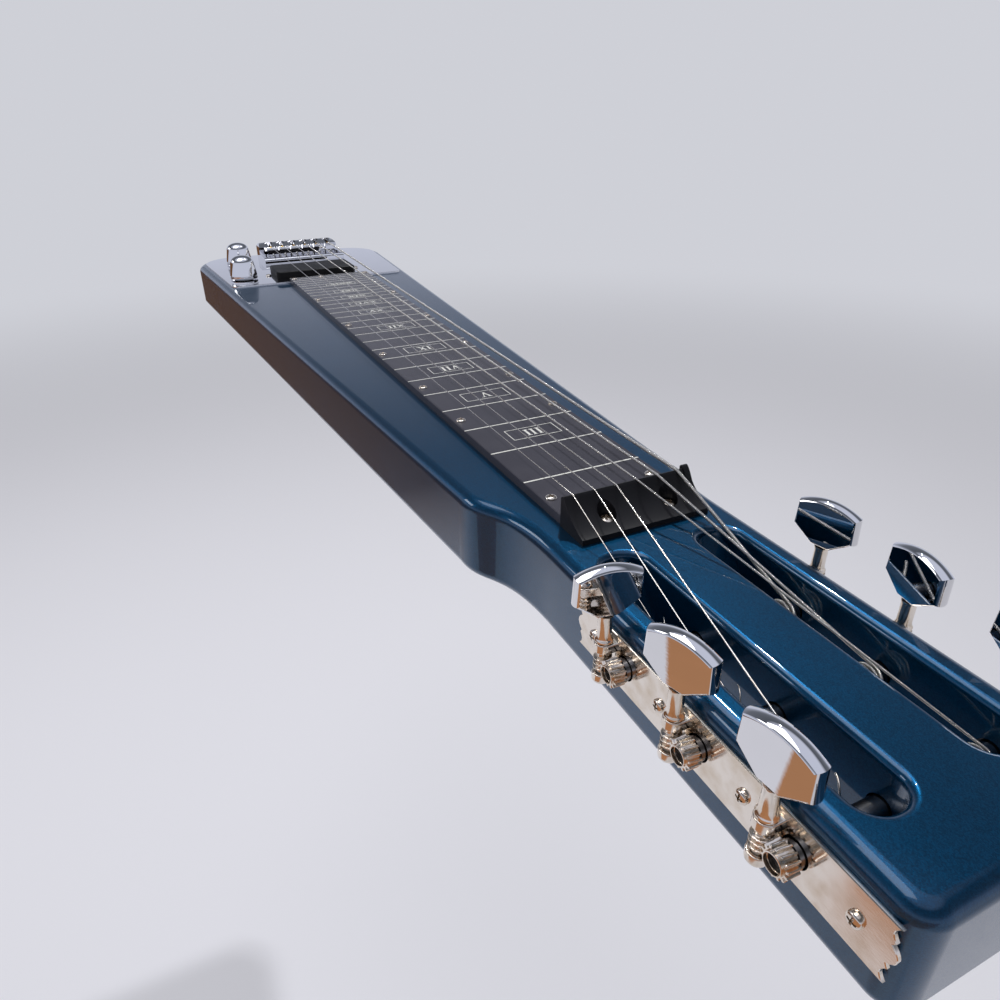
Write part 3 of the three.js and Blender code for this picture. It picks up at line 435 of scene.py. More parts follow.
SLOTS = {
    "blue lacquer": "blue_lacquer",
    "mirror chrome": "mirror_chrome",
    "warm nickel": "nickel_parts",
    "bright steel": "steel_parts",
    "painted shade steel": "steel_parts",
    "plain string": "plain_strings",
    "brass ball": "plain_strings",
    "wound string": "wound_strings",
    "black board": "black_board",
    # painted shadow strips beside the board's white lines and figures
    "painted shadow black": "black_board",
    "black nut": "black_nut",
    "black cover": "black_cover",
}


def piece(name, source, look, body=ROOT, stands_for=(), slot=None, angle=35.0, bevel=0.0, weighted=False):
    """Puts a shape or mesh into the scene as a piece with its finish, which rides on its body."""
    mesh = source if isinstance(source, bpy.types.Mesh) else mesh_of(name, source)
    mesh.name = name
    mesh.shade_smooth()
    mesh.set_sharp_from_angle(angle=math.radians(angle))
    mesh.materials.clear()
    mesh.materials.append(finish(look))
    made = bpy.data.objects.new(name, mesh)
    bpy.context.scene.collection.objects.link(made)
    if bevel:
        modifier = made.modifiers.new("edges", "BEVEL")
        modifier.width = bevel * MM
        modifier.segments = 2
        modifier.limit_method = "ANGLE"
        modifier.angle_limit = math.radians(angle)
        modifier.harden_normals = True
    elif weighted:
        modifier = made.modifiers.new("normals", "WEIGHTED_NORMAL")
        modifier.keep_sharp = True
        modifier.weight = 90
    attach(made, body)
    slot = slot or SLOTS.get(look)
    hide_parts(*stands_for)


def dress(look, *nodes):
    """Gives CAD nodes that stay as they are a finish."""
    for name in nodes:
        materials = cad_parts[name].data.materials
        materials.clear()
        materials.append(finish(look))


def low(node):
    """A node's lowest corner in millimetres."""
    return np.array(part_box(node)[0]) / MM


def high(node):
    """A node's highest corner in millimetres."""
    return np.array(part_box(node)[1]) / MM


def middle(node):
    return (low(node) + high(node)) / 2


def outward(y):
    """The axis that leads from the middle plane to a place's own side."""
    return "+Y" if y > 0 else "-Y"


SCREW_SIDES = 64
SCREW_RIM = 0.35
CROSS_WIDTH = 0.13
CROSS_REACH = 0.6
CROSS_DEPTH = 0.62


def screw(radius, rise, x=0.0, y=0.0, z=0.0, turn=0.0, axis=None):
    """A domed head whose height drops inside a plus sign, which is turned by an angle."""
    reach = np.concatenate([np.linspace(1.0, 0.72, 5), np.linspace(0.66, 0.0, 19)])[:, None]
    angle = np.linspace(0.0, 2 * math.pi, SCREW_SIDES, endpoint=False)
    u, v = np.abs(reach * np.cos(angle + turn)), np.abs(reach * np.sin(angle + turn))
    cross = ((u < CROSS_WIDTH) & (v < CROSS_REACH)) | ((v < CROSS_WIDTH) & (u < CROSS_REACH))
    height = rise * (SCREW_RIM + (1 - SCREW_RIM) * np.sqrt(1 - reach**2) - CROSS_DEPTH * cross)
    top = np.stack([radius * reach * np.cos(angle), radius * reach * np.sin(angle), height], -1)
    foot = top[:1].copy()
    foot[..., 2] = -0.4 * rise
    points, faces = sheet(np.concatenate([foot, top]), False)
    faces.append(list(range(SCREW_SIDES - 1, -1, -1)))
    shape = (points, faces)
    return shifted(facing(shape, axis) if axis else shape, x, y, z)


def rod(radius, start, end, x=0.0, y=0.0, axis=None, sides=48):
    """A plain cylinder from one height to another, before it is laid along its axis."""
    shape = lathe([(radius, start), (radius, end)], sides)
    shape = shifted(shape, x, y)
    return facing(shape, axis) if axis else shape


def bar(radius, start, end, y, z, sides=48):
    """A plain cylinder along X."""
    return shifted(rod(radius, start, end, axis="+X", sides=sides), 0.0, y, z)


def screw_heads(name, heads):
    piece(name, join(heads), "warm nickel", angle=30.0)


def finish(name):
    """The material of that name, made on first use from the settings."""
    found = bpy.data.materials.get(name)
    if found:
        return found
    scene = bpy.context.scene
    coat, metal, board = scene.lap_lacquer, scene.lap_metal, scene.lap_board
    chrome, nickel = tuple(metal.chrome_colour), tuple(metal.nickel_colour)
    recipes = {
        "blue lacquer": (lacquer_nodes, tuple(coat.colour), coat.flake, coat.depth),
        "mirror chrome": (chrome_nodes, chrome, metal.chrome_roughness),
        "warm nickel": (nickel_nodes, nickel, metal.nickel_roughness),
        "bright steel": (nickel_nodes, (0.72, 0.72, 0.72), 0.16),
        # The posts' steel is darkened below bright steel: painted shade of the slots that hold them
        "painted shade steel": (nickel_nodes, (0.26, 0.26, 0.27), 0.16),
        "plain string": (nickel_nodes, (0.86, 0.83, 0.78), 0.14),
        "wound string": (wound_nodes, (0.74, 0.71, 0.66), scene.lap_strings.winding_pitch),
        "black board": (satin_nodes, tuple(board.colour), 0.2, 0.000003, 0.3),
        "black nut": (satin_nodes, (0.006, 0.006, 0.008), 0.4, 0.00001, 0.25),
        "black cover": (satin_nodes, (0.003, 0.003, 0.004), 0.5, 0.000006, 0.2),
        "white ink": (ink_nodes, tuple(board.ink_colour)),
        # Black for the painted shadow strips beside the board's white lines and figures
        "painted shadow black": (ink_nodes, (0.004, 0.004, 0.005)),
        "brass ball": (nickel_nodes, (0.62, 0.42, 0.18), 0.2),
        "copper wire": (nickel_nodes, (0.45, 0.19, 0.08), 0.35),
        "ivory film": (satin_nodes, (0.72, 0.66, 0.5), 0.45, 0.00001),
    }
    return material(name, *recipes[name])


# The body


SHOULDER_BACK = 44.0
SHOULDER_FRONT = 10.0
NEAR_SHOULDER = 51.7
FAR_SHOULDER = 45.2
HEAD_HALF = 38.5
HEAD_CORNER = 8.0
TAIL_CORNER = 36.0
ROUND_CONTROL = 0.5523
DEPTH = 36.0
PAST = 2.0
CAVITY = (-588.0, -474.0, -81.0, -38.0)
CAVITY_CORNER = 9.0
CAVITY_FLOOR = 9.0
POCKET_CORNER = 3.0
JACK_BORE = (5.7, -620.0, -586.0)
POST_BORE = (4.1, 8.2, 42.0)
SLOT_START = 23.5
SLOT_END = 139.5
SLOT_INNER = 12.2
SLOT_OUTER = 28.5
SLOT_CORNER = 7.5
SLOT_FLARE = 2.6
RAMP_LENGTH = 34.0
RAMP_SAG = 14.0
RAMP_DROP = 3.0


def half_width(distance, tail, shoulder, length):
    """The half width of the tapered body grows evenly with the distance behind the nut."""
    share = (distance - SHOULDER_BACK) / (length - TAIL_CORNER - SHOULDER_BACK)
    return shoulder + (tail - shoulder) * share


def tail_end(front, margin):
    """The outline's run along the far side, round the tail and along the near side, inset by a margin."""
    length = -low("body")[0]
    turn, tail = length - TAIL_CORNER, length - margin
    size = TAIL_CORNER - margin
    pull = size * ROUND_CONTROL

    def near(distance):
        return half_width(distance, -low("body")[1], NEAR_SHOULDER, length) - margin

    def far(distance):
        return half_width(distance, high("body")[1], FAR_SHOULDER, length) - margin

    left, right = far(turn), near(turn)
    return np.concatenate([
        line((-front, far(front)), (-turn, left), 40),
        bezier([(-turn, left), (-turn - pull, left), (-tail, left - size + pull), (-tail, left - size)], 28),
        line((-tail, left - size), (-tail, size - right), 8),
        bezier([(-tail, size - right), (-tail, size - right - pull), (-turn - pull, -right), (-turn, -right)],
               28),
        line((-turn, -right), (-front, -near(front)), 40),
    ])


def body_outline():
    """Straight tapers from the tail to the shoulders, S-shaped shoulders and a straight head."""
    corner = high("body")[0] - HEAD_CORNER
    side = HEAD_HALF - HEAD_CORNER
    near_back, near_front = (-SHOULDER_BACK, -NEAR_SHOULDER), (SHOULDER_FRONT, -HEAD_HALF)
    far_back, far_front = (-SHOULDER_BACK, FAR_SHOULDER), (SHOULDER_FRONT, HEAD_HALF)
    return np.concatenate([
        tail_end(SHOULDER_BACK, 0.0),
        bezier([near_back, (-24, -NEAR_SHOULDER), (-30, -39.1), near_front], 40),
        line(near_front, (corner, -HEAD_HALF), 10),
        arc((corner, -side), HEAD_CORNER, -90, 0, 12),
        arc((corner, side), HEAD_CORNER, 0, 90, 12),
        line((corner, HEAD_HALF), far_front, 10)[1:],
        bezier([far_front, (-20, HEAD_HALF), (-24, FAR_SHOULDER), far_back], 40),
    ])


def slot_cutter(side):
    """A rounded slot that flares by a quarter circle at both faces, less the ramp's wedge at its nut end."""
    walls = sorted((side * SLOT_INNER, side * SLOT_OUTER))
    outline = rectangle(SLOT_START, SLOT_END, *walls, SLOT_CORNER, 10)
    swing = np.radians(np.linspace(0.0, 90.0, 9))
    spread = SLOT_FLARE * (1 - np.cos(swing))
    rise = SLOT_FLARE * (1 - np.sin(swing))
    profile = [(-SLOT_FLARE, -PAST), *zip(-spread[::-1], rise[::-1])]
    profile += [*zip(-spread, DEPTH - rise), (-SLOT_FLARE, DEPTH + PAST)]
    start, foot, top = SLOT_START - SLOT_FLARE - PAST, -2 * PAST, DEPTH - RAMP_DROP
    bend = [(SLOT_START + RAMP_LENGTH, foot), (SLOT_START + RAMP_LENGTH / 2, RAMP_SAG), (SLOT_START, top)]
    ramp = np.concatenate([line((start, foot), bend[0]), bezier(bend, 24), [bend[-1], (start, top)]])
    return shaped(slab(outline, profile), *less(across(ramp, -HEAD_HALF, HEAD_HALF)))


def build_body(settings):
    """A profile with quarter-round edges carried round the outline, cut by slots, pockets and bores."""
    edge = settings.edge_radius / MM
    blank = slab(body_outline(), edged(0.0, DEPTH, edge, edge, 9))
    first, last = low("pickup_base"), high("pickup_base")
    pocket = rectangle(first[0] - 2, last[0] + 2, first[1] - 4, last[1] + 4, POCKET_CORNER)
    cuts = [slot_cutter(-1), slot_cutter(1)]
    for outline in (rectangle(*CAVITY, CAVITY_CORNER), pocket):
        cuts.append(prism(outline, CAVITY_FLOOR, DEPTH + PAST))
    cuts.append(bar(*JACK_BORE, *middle("output_jack")[1:]))
    for n in STRINGS:
        x, y, z = middle(f"string_post_{n}")
        cuts.append(shifted(rod(*POST_BORE, axis=outward(y)), x, 0, z))
    mesh = shaped(blank, *less(*cuts))
    piece("guitar_body", mesh, "blue lacquer", stands_for=["body"], weighted=True)


# The fretboard


FRET_COUNT = 29
MARKED_FRETS = {
    3: "III", 5: "V", 7: "VII", 9: "IX", 12: "XII", 15: "XV", 17: "XVII", 19: "XIX", 21: "XXI", 24: "XXIV",
}
NUMERAL_WIDTHS = {"I": 3.0, "V": 5.4, "X": 5.4}
THICK, THIN = 1.15, 0.5
SERIF, SERIF_REACH = 0.42, 1.15
NUT_HALF = 27.1
GROOVE = 0.16
CHAMFER = 0.35
INK_SINK = 0.1
INK_RISE = 0.03
FRAME_HALF = 12.2
FRAME_LENGTH = 11.0
FRAME_SHARE = 0.56
SHADE_WIDTH = 0.4
BOARD_SCREWS = [
    (-15.8, -23.9), (-103.1, -25.1), (-154.5, -25.6), (-220.5, -27.2), (-293.7, -28.4), (-375.5, -30.2),
    (-459.5, -31.0), (-16.2, 22.4), (-103.4, 24.9), (-154.0, 25.4), (-221.3, 26.5), (-293.7, 28.4),
    (-375.5, 30.2), (-459.5, 31.0), (-460.5, -7.9),
]


def fret_x(fret):
    """Each fret leaves the remaining string shorter by the twelfth root of two."""
    return -SCALE * (1 - 2 ** (-np.asarray(fret, float) / 12))


def board_half(x):
    """The board's half width grows evenly from the nut to its end."""
    end = max(-low("fretboard")[1], high("fretboard")[1])
    return NUT_HALF + (end - NUT_HALF) * x / low("fretboard")[0]


def stroke(start, end, width, bottom, top):
    """A flat bar between two points."""
    start, end = np.array(start, float), np.array(end, float)
    along = (end - start) / np.linalg.norm(end - start)
    beside = np.array([-along[1], along[0]]) * width / 2
    corners = np.array([start + beside, start - beside, end - beside, end + beside])
    if np.cross(corners[1] - corners[0], corners[2] - corners[1]) < 0:
        corners = corners[::-1]
    return prism(corners, bottom, top)


def numeral(text, x, height, bottom, top):
    """Roman figures from thick and thin strokes with serifs. Up is +X, and they are read towards -Y."""
    widths = [NUMERAL_WIDTHS[letter] for letter in text]
    start = sum(widths) / 2
    foot, head = x - height / 2, x + height / 2
    shapes = []
    for letter, width in zip(text, widths):
        y = start - width / 2
        left, right = y + width * 0.32, y - width * 0.32
        bars = {
            "I": [((foot, y), (head, y), THICK)],
            "V": [((head, left), (foot, y), THICK), ((head, right), (foot, y), THIN)],
            "X": [((head, left), (foot, right), THICK), ((head, right), (foot, left), THIN)],
        }[letter]
        for k, (first, last, thickness) in enumerate(bars):
            shapes.append(stroke(first, last, thickness, bottom - 0.01 * k, top - 0.004 * k))
        for place in [y] if letter == "I" else [left, right]:
            for level in [head] if letter == "V" else [head, foot]:
                ends = (level, place - SERIF_REACH), (level, place + SERIF_REACH)
                shapes.append(stroke(*ends, SERIF, bottom - 0.02, top - 0.006))
        start -= width
    return shapes


def board_shape(lines, half_line, bottom, top):
    """Six-point sections carried along the length, which dip at each fret line."""
    stations, levels = [high("fretboard")[0]], [top]
    for x in lines:
        stations += [x + half_line, x + half_line, x - half_line, x - half_line]
        levels += [top, top - GROOVE, top - GROOVE, top]
    stations, levels = np.array([*stations, low("fretboard")[0]]), np.array([*levels, top])
    half, floor = board_half(stations), np.full(len(stations), bottom)
    right = [(half, floor), (half, levels - CHAMFER), (half - CHAMFER, levels)]
    corners = right + [(-y, z) for y, z in reversed(right)]
    points, faces = sheet(np.stack([np.stack([stations, y, z], -1) for y, z in corners], 1))
    return points, [face[::-1] for face in faces]


def figure_marks(width, top):
    """A frame of four strokes about each figure, midway between two frets."""
    marks = []
    for fret, text in MARKED_FRETS.items():
        front, back = float(fret_x(fret - 1)), float(fret_x(fret))
        x = (front + back) / 2
        length = min(FRAME_LENGTH, (front - back) * FRAME_SHARE)
        corners = rectangle(x - length / 2, x + length / 2, -FRAME_HALF, FRAME_HALF)
        for k, corner in enumerate(corners):
            ends = corner, corners[(k + 1) % 4]
            marks.append(stroke(*ends, width, top - INK_SINK, top + INK_RISE - 0.004 * k))
        marks += numeral(text, x, length * FRAME_SHARE, top - INK_SINK, top + INK_RISE)
    return join(marks)


def build_board(settings):
    """The board, white ink in its lines, framed figures, and a thin black strip of painted shadow beside them
    all.
    """
    bottom, top = low("fretboard")[2], high("fretboard")[2]
    half_line = settings.line_width / MM / 2
    lines = fret_x(np.arange(1, FRET_COUNT + 1))
    board = board_shape(lines, half_line, bottom, top)
    piece("board", board, "black board", stands_for=["fretboard"], angle=20.0)
    ink, shade = [], []
    for x in lines:
        wide = board_half(x) - 0.1
        back, front = x - half_line + 0.06, x + half_line - 0.06
        ink.append(box_shape(back, front, -wide, wide, top - GROOVE - 0.03, top - 0.04))
        # The black strip on each line's near side is painted shadow of its groove
        wide -= 0.3
        back = x + half_line + 0.02
        shade.append(box_shape(back, back + SHADE_WIDTH, -wide, wide, top - INK_SINK, top + 0.012))
    piece("fret_lines", join(ink), "white ink")
    marks = figure_marks(settings.mark_width / MM, top)
    piece("fret_marks", marks, "white ink")
    # A black copy of the frames and figures, shifted under them, is their painted drop shadow
    shade.append(shifted(marks, 0.42, -0.2, -0.015))
    piece("painted_line_shadows", join(shade), "painted shadow black")
    heads = [screw(2.25, 1.1, x, y, top, 0.7 * k) for k, (x, y) in enumerate(BOARD_SCREWS)]
    screw_heads("board_screws", heads)


# The nut, the plate and the pickup


NUT_HOLES = [(6.2, -12.9), (6.2, 14.6)]
EAR_HALF = 1.3
PLATE_MARGIN = 6.4
PLATE_CORNER = 7.0
PICKUP_CORNER = 3.2
SHAFT_HOLE = 4.7


def string_row(n, centre, spacing):
    return centre + (n - 3.5) * spacing


def build_nut():
    """A hollow ramp in X and Z carried across, with two counterbores and a groove for each string."""
    back, half, base = low("nut_block")[0], high("nut_block")[1], low("nut_block")[2]
    front, ridge = high("nut_block")[0], STRING_HEIGHT
    side = np.concatenate([
        [(back, base), (front, base), (front, base + 1.9)],
        bezier([(front, base + 2.2), (5.5, base + 4.9), (0.2, ridge)], 28),
        [(0.0, ridge + 0.05), (-0.5, ridge + 0.02), (back, ridge - 1.1)],
    ])
    ear_top = ridge + 1.2
    ear_side = np.concatenate([
        [(back, base + 5.0), (3.6, base + 5.0)],
        bezier([(3.6, ridge - 4.4), (0.4, ear_top), (-0.9, ear_top)], 12),
        bezier([(-0.9, ear_top), (back, ear_top), (back, ridge)], 8),
    ])
    ear = shifted(across(ear_side, -EAR_HALF, EAR_HALF), 0.0, half - EAR_HALF)
    cuts = [rod(3.7, base + 2.0, ridge + 4.0, x, y) for x, y in NUT_HOLES]
    for n in STRINGS:
        y = string_row(n, NUT_CENTRE, NUT_SPACING)
        cuts.append(bar(DIAMETERS[n - 1] / 2 + 0.16, -6.0, 6.0, y, ridge, 16))
    mesh = shaped(across(side, -half, half), ("UNION", ear), *less(*cuts))
    piece("nut", mesh, "black nut", stands_for=["nut_block"], bevel=0.28)
    screw_heads("nut_screws", [screw(3.1, 1.9, x, y, base + 2.4, 0.4 + x * y) for x, y in NUT_HOLES])


def build_plate():
    """The tail's outline moved inwards, with a rounded upper edge, cut out for the pickup and both knobs."""
    front = -high("control_plate")[0]
    bottom, top = low("control_plate")[2], high("control_plate")[2]
    turn = front + PLATE_CORNER
    edge = tail_end(turn, PLATE_MARGIN)
    far, near = edge[0][1], edge[-1][1]
    near_turn, far_turn = near + PLATE_CORNER, far - PLATE_CORNER
    outline = np.concatenate([
        edge,
        bezier([(-turn, near), (-front, near), (-front, near_turn)], 10),
        line((-front, near_turn), (-front, far_turn), 4),
        bezier([(-front, far_turn), (-front, far), (-turn, far)], 10),
    ])
    profile = [(0.0, bottom), (0.0, top - 0.35), (0.1, top - 0.12), (0.35, top)]
    first, last = low("pickup_cover"), high("pickup_cover")
    hole = rectangle(first[0] - 0.3, last[0] + 0.3, first[1] - 0.3, last[1] + 0.3, PICKUP_CORNER + 0.2)
    cuts = [prism(hole, bottom - PAST, top + PAST)]
    for shaft in ("volume_shaft", "tone_shaft"):
        x, y, _ = middle(shaft)
        cuts.append(rod(SHAFT_HOLE, bottom - PAST, top + PAST, x, y))
    mesh = shaped(slab(outline, profile), *less(*cuts))
    piece("plate", mesh, "mirror chrome", stands_for=["control_plate"], weighted=True)


def build_pickup():
    """A rounded rectangle with a soft upper edge, and a screw beyond each of its ends."""
    first, last = low("pickup_cover"), high("pickup_cover")
    outline = rectangle(first[0], last[0], first[1], last[1], PICKUP_CORNER, 10)
    cover = slab(outline, edged(first[2], last[2], 0.0, 1.4, 6))
    piece("pickup", cover, "black cover", stands_for=["pickup_cover"], weighted=True)
    x, top = middle("pickup_cover")[0], high("control_plate")[2]
    screw_heads("pickup_screws", [screw(2.4, 1.5, x, y, top, 0.5) for y in (first[1] - 4.6, last[1] + 4.6)])
    dress("copper wire", "pickup_coil")
    dress("bright steel", "pickup_base")


# The bridge


STRING_SLOT_FLOOR = 5.0
SADDLE_SCREW_HEIGHT = 3.6
WALL, LIP = 2.6, 1.8
WALL_TOP = 5.0
BRIDGE_CORNER = 4.0
POCKET_SIZE = (5.0, 3.8)
STRING_SLOT_HALF = 1.3
GRUB_OFFSETS = (-3.4, 3.4)
GRUB_BORE = 1.35
BALL = [(0.7, -1.2), (1.7, -1.2), (1.9, -0.9), (1.9, 0.9), (1.7, 1.2), (0.7, 1.2), (0.7, -1.2)]
SCREW_TIP = [(0.0, -0.5), (1.5, -0.5), (1.5, 0.5), (1.2, 0.8), (0.8, 0.8), (0.7, 0.2), (0.0, 0.2)]


def bridge_shape(pocket, rim, base, floor):
    """A side outline carried across, with round ends, a tray, and a pocket and slot for each string."""
    (back, right, _), (front, left, top) = low("bridge_base"), high("bridge_base")
    wall_top = base + WALL_TOP
    side = np.concatenate([
        [(back, base), (front, base)],
        bezier([(front, base + 2.0), (front, wall_top), (front - WALL_TOP, wall_top)], 8),
        [(front - WALL_TOP, wall_top), (rim, wall_top), (rim, top - 2.5)],
        bezier([(back + 3.4, top), (back, top), (back, top - 3.4)], 10),
        [(back, top - 3.4)],
    ])
    corner = top - BRIDGE_CORNER
    round_top = np.concatenate([
        [(right, base - 1.0), (left, base - 1.0)],
        arc((left - BRIDGE_CORNER, corner), BRIDGE_CORNER, 0, 90, 8),
        arc((right + BRIDGE_CORNER, corner), BRIDGE_CORNER, 90, 180, 8),
    ])
    past = top + 2 * PAST
    cuts = [box_shape(rim, front - LIP, right + WALL, left - WALL, base + 2.0, past)]
    length, half = POCKET_SIZE
    for n in STRINGS:
        y = string_row(n, BRIDGE_CENTRE, BRIDGE_SPACING)
        slot = (y - STRING_SLOT_HALF, y + STRING_SLOT_HALF)
        cuts.append(box_shape(pocket + 1.0, rim + PAST, *slot, floor, past))
        cuts.append(prism(rectangle(pocket, pocket + length, y - half, y + half, 0.8, 3), floor, past))
    ends = facing(prism(round_top, back - 1.0, front + 1.0), "+X")
    return shaped(across(side, right, left), ("INTERSECT", ends), *less(*cuts))


def build_bridge():
    """The bridge, the strings' balls in its pockets, the screws that set the saddles, and the saddles."""
    back, _, base = low("bridge_base")
    pocket, rim = back + 2.4, low("saddle_1")[0] - 3.5
    floor, screw_height = base + STRING_SLOT_FLOOR, base + SADDLE_SCREW_HEIGHT
    mesh = bridge_shape(pocket, rim, base, floor)
    piece("bridge", mesh, "mirror chrome", stands_for=["bridge_base"], bevel=0.25)
    balls, travel = [], []
    for n in STRINGS:
        y = string_row(n, BRIDGE_CENTRE, BRIDGE_SPACING)
        balls.append(shifted(facing(lathe(BALL, 32), "+Y"), pocket + 2.2, y, floor + 2.0))
        travel.append(bar(0.9, rim - 2.0, low(f"saddle_{n}")[0] + 4.0, y, screw_height, 24))
    piece("string_balls", join(balls), "brass ball")
    piece("saddle_screws", join(travel), "bright steel")
    for n in STRINGS:
        build_saddle(n, screw_height)


def build_saddle(n, screw_height):
    """A side outline with a rounded crest carried across, grooved for its string, bored for its screws."""
    node, body = f"saddle_{n}", f"saddle_slide_{n}"
    (back, right, base), (front, left, crest) = low(node), high(node)
    y = middle(node)[1]
    half = (left - right) / 2
    crest_front, brow = (SADDLE_CREST + 0.6, crest), (SADDLE_CREST - 2.0, crest - 1.3)
    side = np.concatenate([
        [(back, base), (front, base)],
        bezier([(front, crest - 1.8), (front, crest), crest_front], 12),
        bezier([crest_front, (SADDLE_CREST - 1.0, crest), brow], 8),
        [brow, (back, crest - 5.0)],
    ])
    groove = bar(DIAMETERS[n - 1] / 2 + 0.3, back - 3, front + 3, y, crest + 0.1, 16)
    cuts = [groove, bar(1.2, back - 1, front - 1.5, y, screw_height, 24)]
    fittings = []
    cup = [(0.0, base), (1.2, base), (1.2, crest - 2.6), (0.8, crest - 2.4), (0.75, crest - 3.6)]
    cup.append((0.0, crest - 3.6))
    for place in (y + offset for offset in GRUB_OFFSETS):
        cuts.append(rod(GRUB_BORE, base - 1, crest + 3.0, back + 4.0, place, sides=24))
        fittings.append(shifted(lathe(cup, 24), back + 4.0, place))
    mesh = shaped(shifted(across(side, -half, half), 0.0, y), *less(*cuts))
    piece(f"string_saddle_{n}", mesh, "mirror chrome", body, [node], "steel_parts", bevel=0.2)
    fittings.append(shifted(facing(lathe(SCREW_TIP, 32), "+X"), front, y, screw_height + 1.2))
    piece(f"saddle_fittings_{n}", join(fittings), "bright steel", body)


# The controls


KNOB_DOME, KNOB_CROWN = 5.5, 9.7
KNOB_SKIRT = [(-0.5, 0.0), (-0.1, 0.15), (0.0, 0.6), (0.0, 1.9), (-0.4, 2.2), (-0.4, 2.7), (-0.1, 3.0)]
KNOB_HOLLOW = [(0.0, 11.3), (3.3, 11.3), (3.3, 3.4), (7.4, 3.4), (7.4, 0.0)]
JACK_NUT = [(3.3, 0.0), (3.6, 0.0), (7.4, 0.0), (8.3, 0.4), (8.5, 1.0), (8.5, 2.2), (5.4, 2.2)]


def build_controls():
    """Lathed knobs with rounded domes, and a flanged jack."""
    swing = np.radians(np.linspace(0.0, 90.0, 21))
    for name in ("volume", "tone"):
        node = f"{name}_knob"
        (x, y, _), base, top = middle(node), low(node)[2], high(node)[2]
        radius = (high(node)[1] - low(node)[1]) / 2
        profile = [(r, base + rise) for r, rise in KNOB_HOLLOW]
        profile += [(radius + grow, base + rise) for grow, rise in KNOB_SKIRT]
        profile += list(zip(KNOB_CROWN * np.cos(swing), top - KNOB_DOME * (1 - np.sin(swing))))
        knob = shifted(lathe(profile, 96), x, y)
        piece(node + "_cap", knob, "mirror chrome", f"{name}_control", [node], angle=30.0)
    dress("bright steel", "volume_shaft", "tone_shaft", "volume_pot", "tone_pot")
    dress("ivory film", "tone_capacitor")
    start, end = low("output_jack")[0], high("output_jack")[0]
    profile = [(radius, start + rise) for radius, rise in JACK_NUT] + [(5.4, end), (3.3, end), (3.3, start)]
    _, y, z = middle("output_jack")
    jack = shifted(facing(lathe(profile, 72), "+X"), 0.0, y, z)
    piece("jack", jack, "warm nickel", stands_for=["output_jack"], angle=30.0)


# The tuners


WORM_OFFSET = 6.5
WORM_REACH = HEAD_HALF + 5.3
TEETH = 14
LEAD = 1.8
PITCH_RADIUS = TEETH * LEAD / (2 * math.pi)
GEAR_HALF = 2.2
GEAR_ROOT = 3.35
TOOTH_HEIGHT = 1.05
TOOTH_SHARES = (0.62, 0.2)
GEAR_HUB = [(3.1, 2.2), (3.1, 2.8), (2.9, 2.9), (2.7, 2.88), (2.55, 1.8), (2.35, 1.8), (2.35, -2.2)]
WORM_ROOT, THREAD_HEIGHT = 1.9, 1.0
THREAD_SHARES = (0.5, 0.16)
THREAD_HALF, THREAD_FADE = 2.9, 0.5
WORM_SIDES = 48
EAR = 4.3
EAR_SPANS = [(-8.1, -EAR, 1.6), (EAR, 7.5, 0.3)]
EAR_BORE = (1.75, -7.2, 9.0)
EAR_RADIUS = 3.1
EAR_ROOT = HEAD_HALF + 0.6
STRIP_HALF = 9.0
STRIP_SCREW = 17.5
STRIP_END = 26.7
POST_TIP = 8.5
POST_RADIUS = 3.6
POST_HOLE = 0.9
STRING_HOLE = 15.0
STRIP_EDGE = [(0.12, 0.0), (0.0, 0.15), (0.0, 1.0), (0.2, 1.2)]


def trap(phase, root_share, crest_share):
    """One at the middle of a pitch and zero past the root, with flanks smoothed by half a cosine."""
    away = np.abs(phase - np.floor(phase) - 0.5)
    slope = np.clip((root_share / 2 - away) / (root_share / 2 - crest_share / 2), 0.0, 1.0)
    return 0.5 - 0.5 * np.cos(math.pi * slope)


def gear_shape(x, side, z):
    """Radius over angle and width: the root plus the teeth, which lean with the worm's lead angle."""
    lean = LEAD / (2 * math.pi * (WORM_OFFSET - PITCH_RADIUS) * PITCH_RADIUS)
    edge = GEAR_HALF - 0.2
    width = np.concatenate([[-GEAR_HALF, -edge], np.linspace(0.05 - edge, edge - 0.05, 7), [edge, GEAR_HALF]])
    angle = np.linspace(0.0, 2 * math.pi, TEETH * 18, endpoint=False)
    phase = (angle - math.pi + lean * width[:, None]) * TEETH / (2 * math.pi)
    ease = np.where(np.abs(width) > GEAR_HALF - 0.1, 0.85, 1.0)[:, None]
    radius = GEAR_ROOT + TOOTH_HEIGHT * trap(phase, *TOOTH_SHARES) * ease - 0.12 * (1 - ease)
    y = np.broadcast_to(width[:, None], radius.shape)
    outer = np.stack([radius * np.cos(angle), y, radius * np.sin(angle)], -1)
    hub_radius, hub_y = np.array(GEAR_HUB).T[:, :, None]
    hub_y = np.broadcast_to(side * hub_y, (len(GEAR_HUB), len(angle)))
    hub = np.stack([hub_radius * np.cos(angle), hub_y, hub_radius * np.sin(angle)], -1)
    rings = np.concatenate([outer if side > 0 else outer[::-1], hub])
    points, faces = sheet(np.concatenate([rings, rings[:1]]), False)
    if side > 0:
        faces = [face[::-1] for face in faces]
    return points + np.array([x, side * WORM_REACH, z]), faces


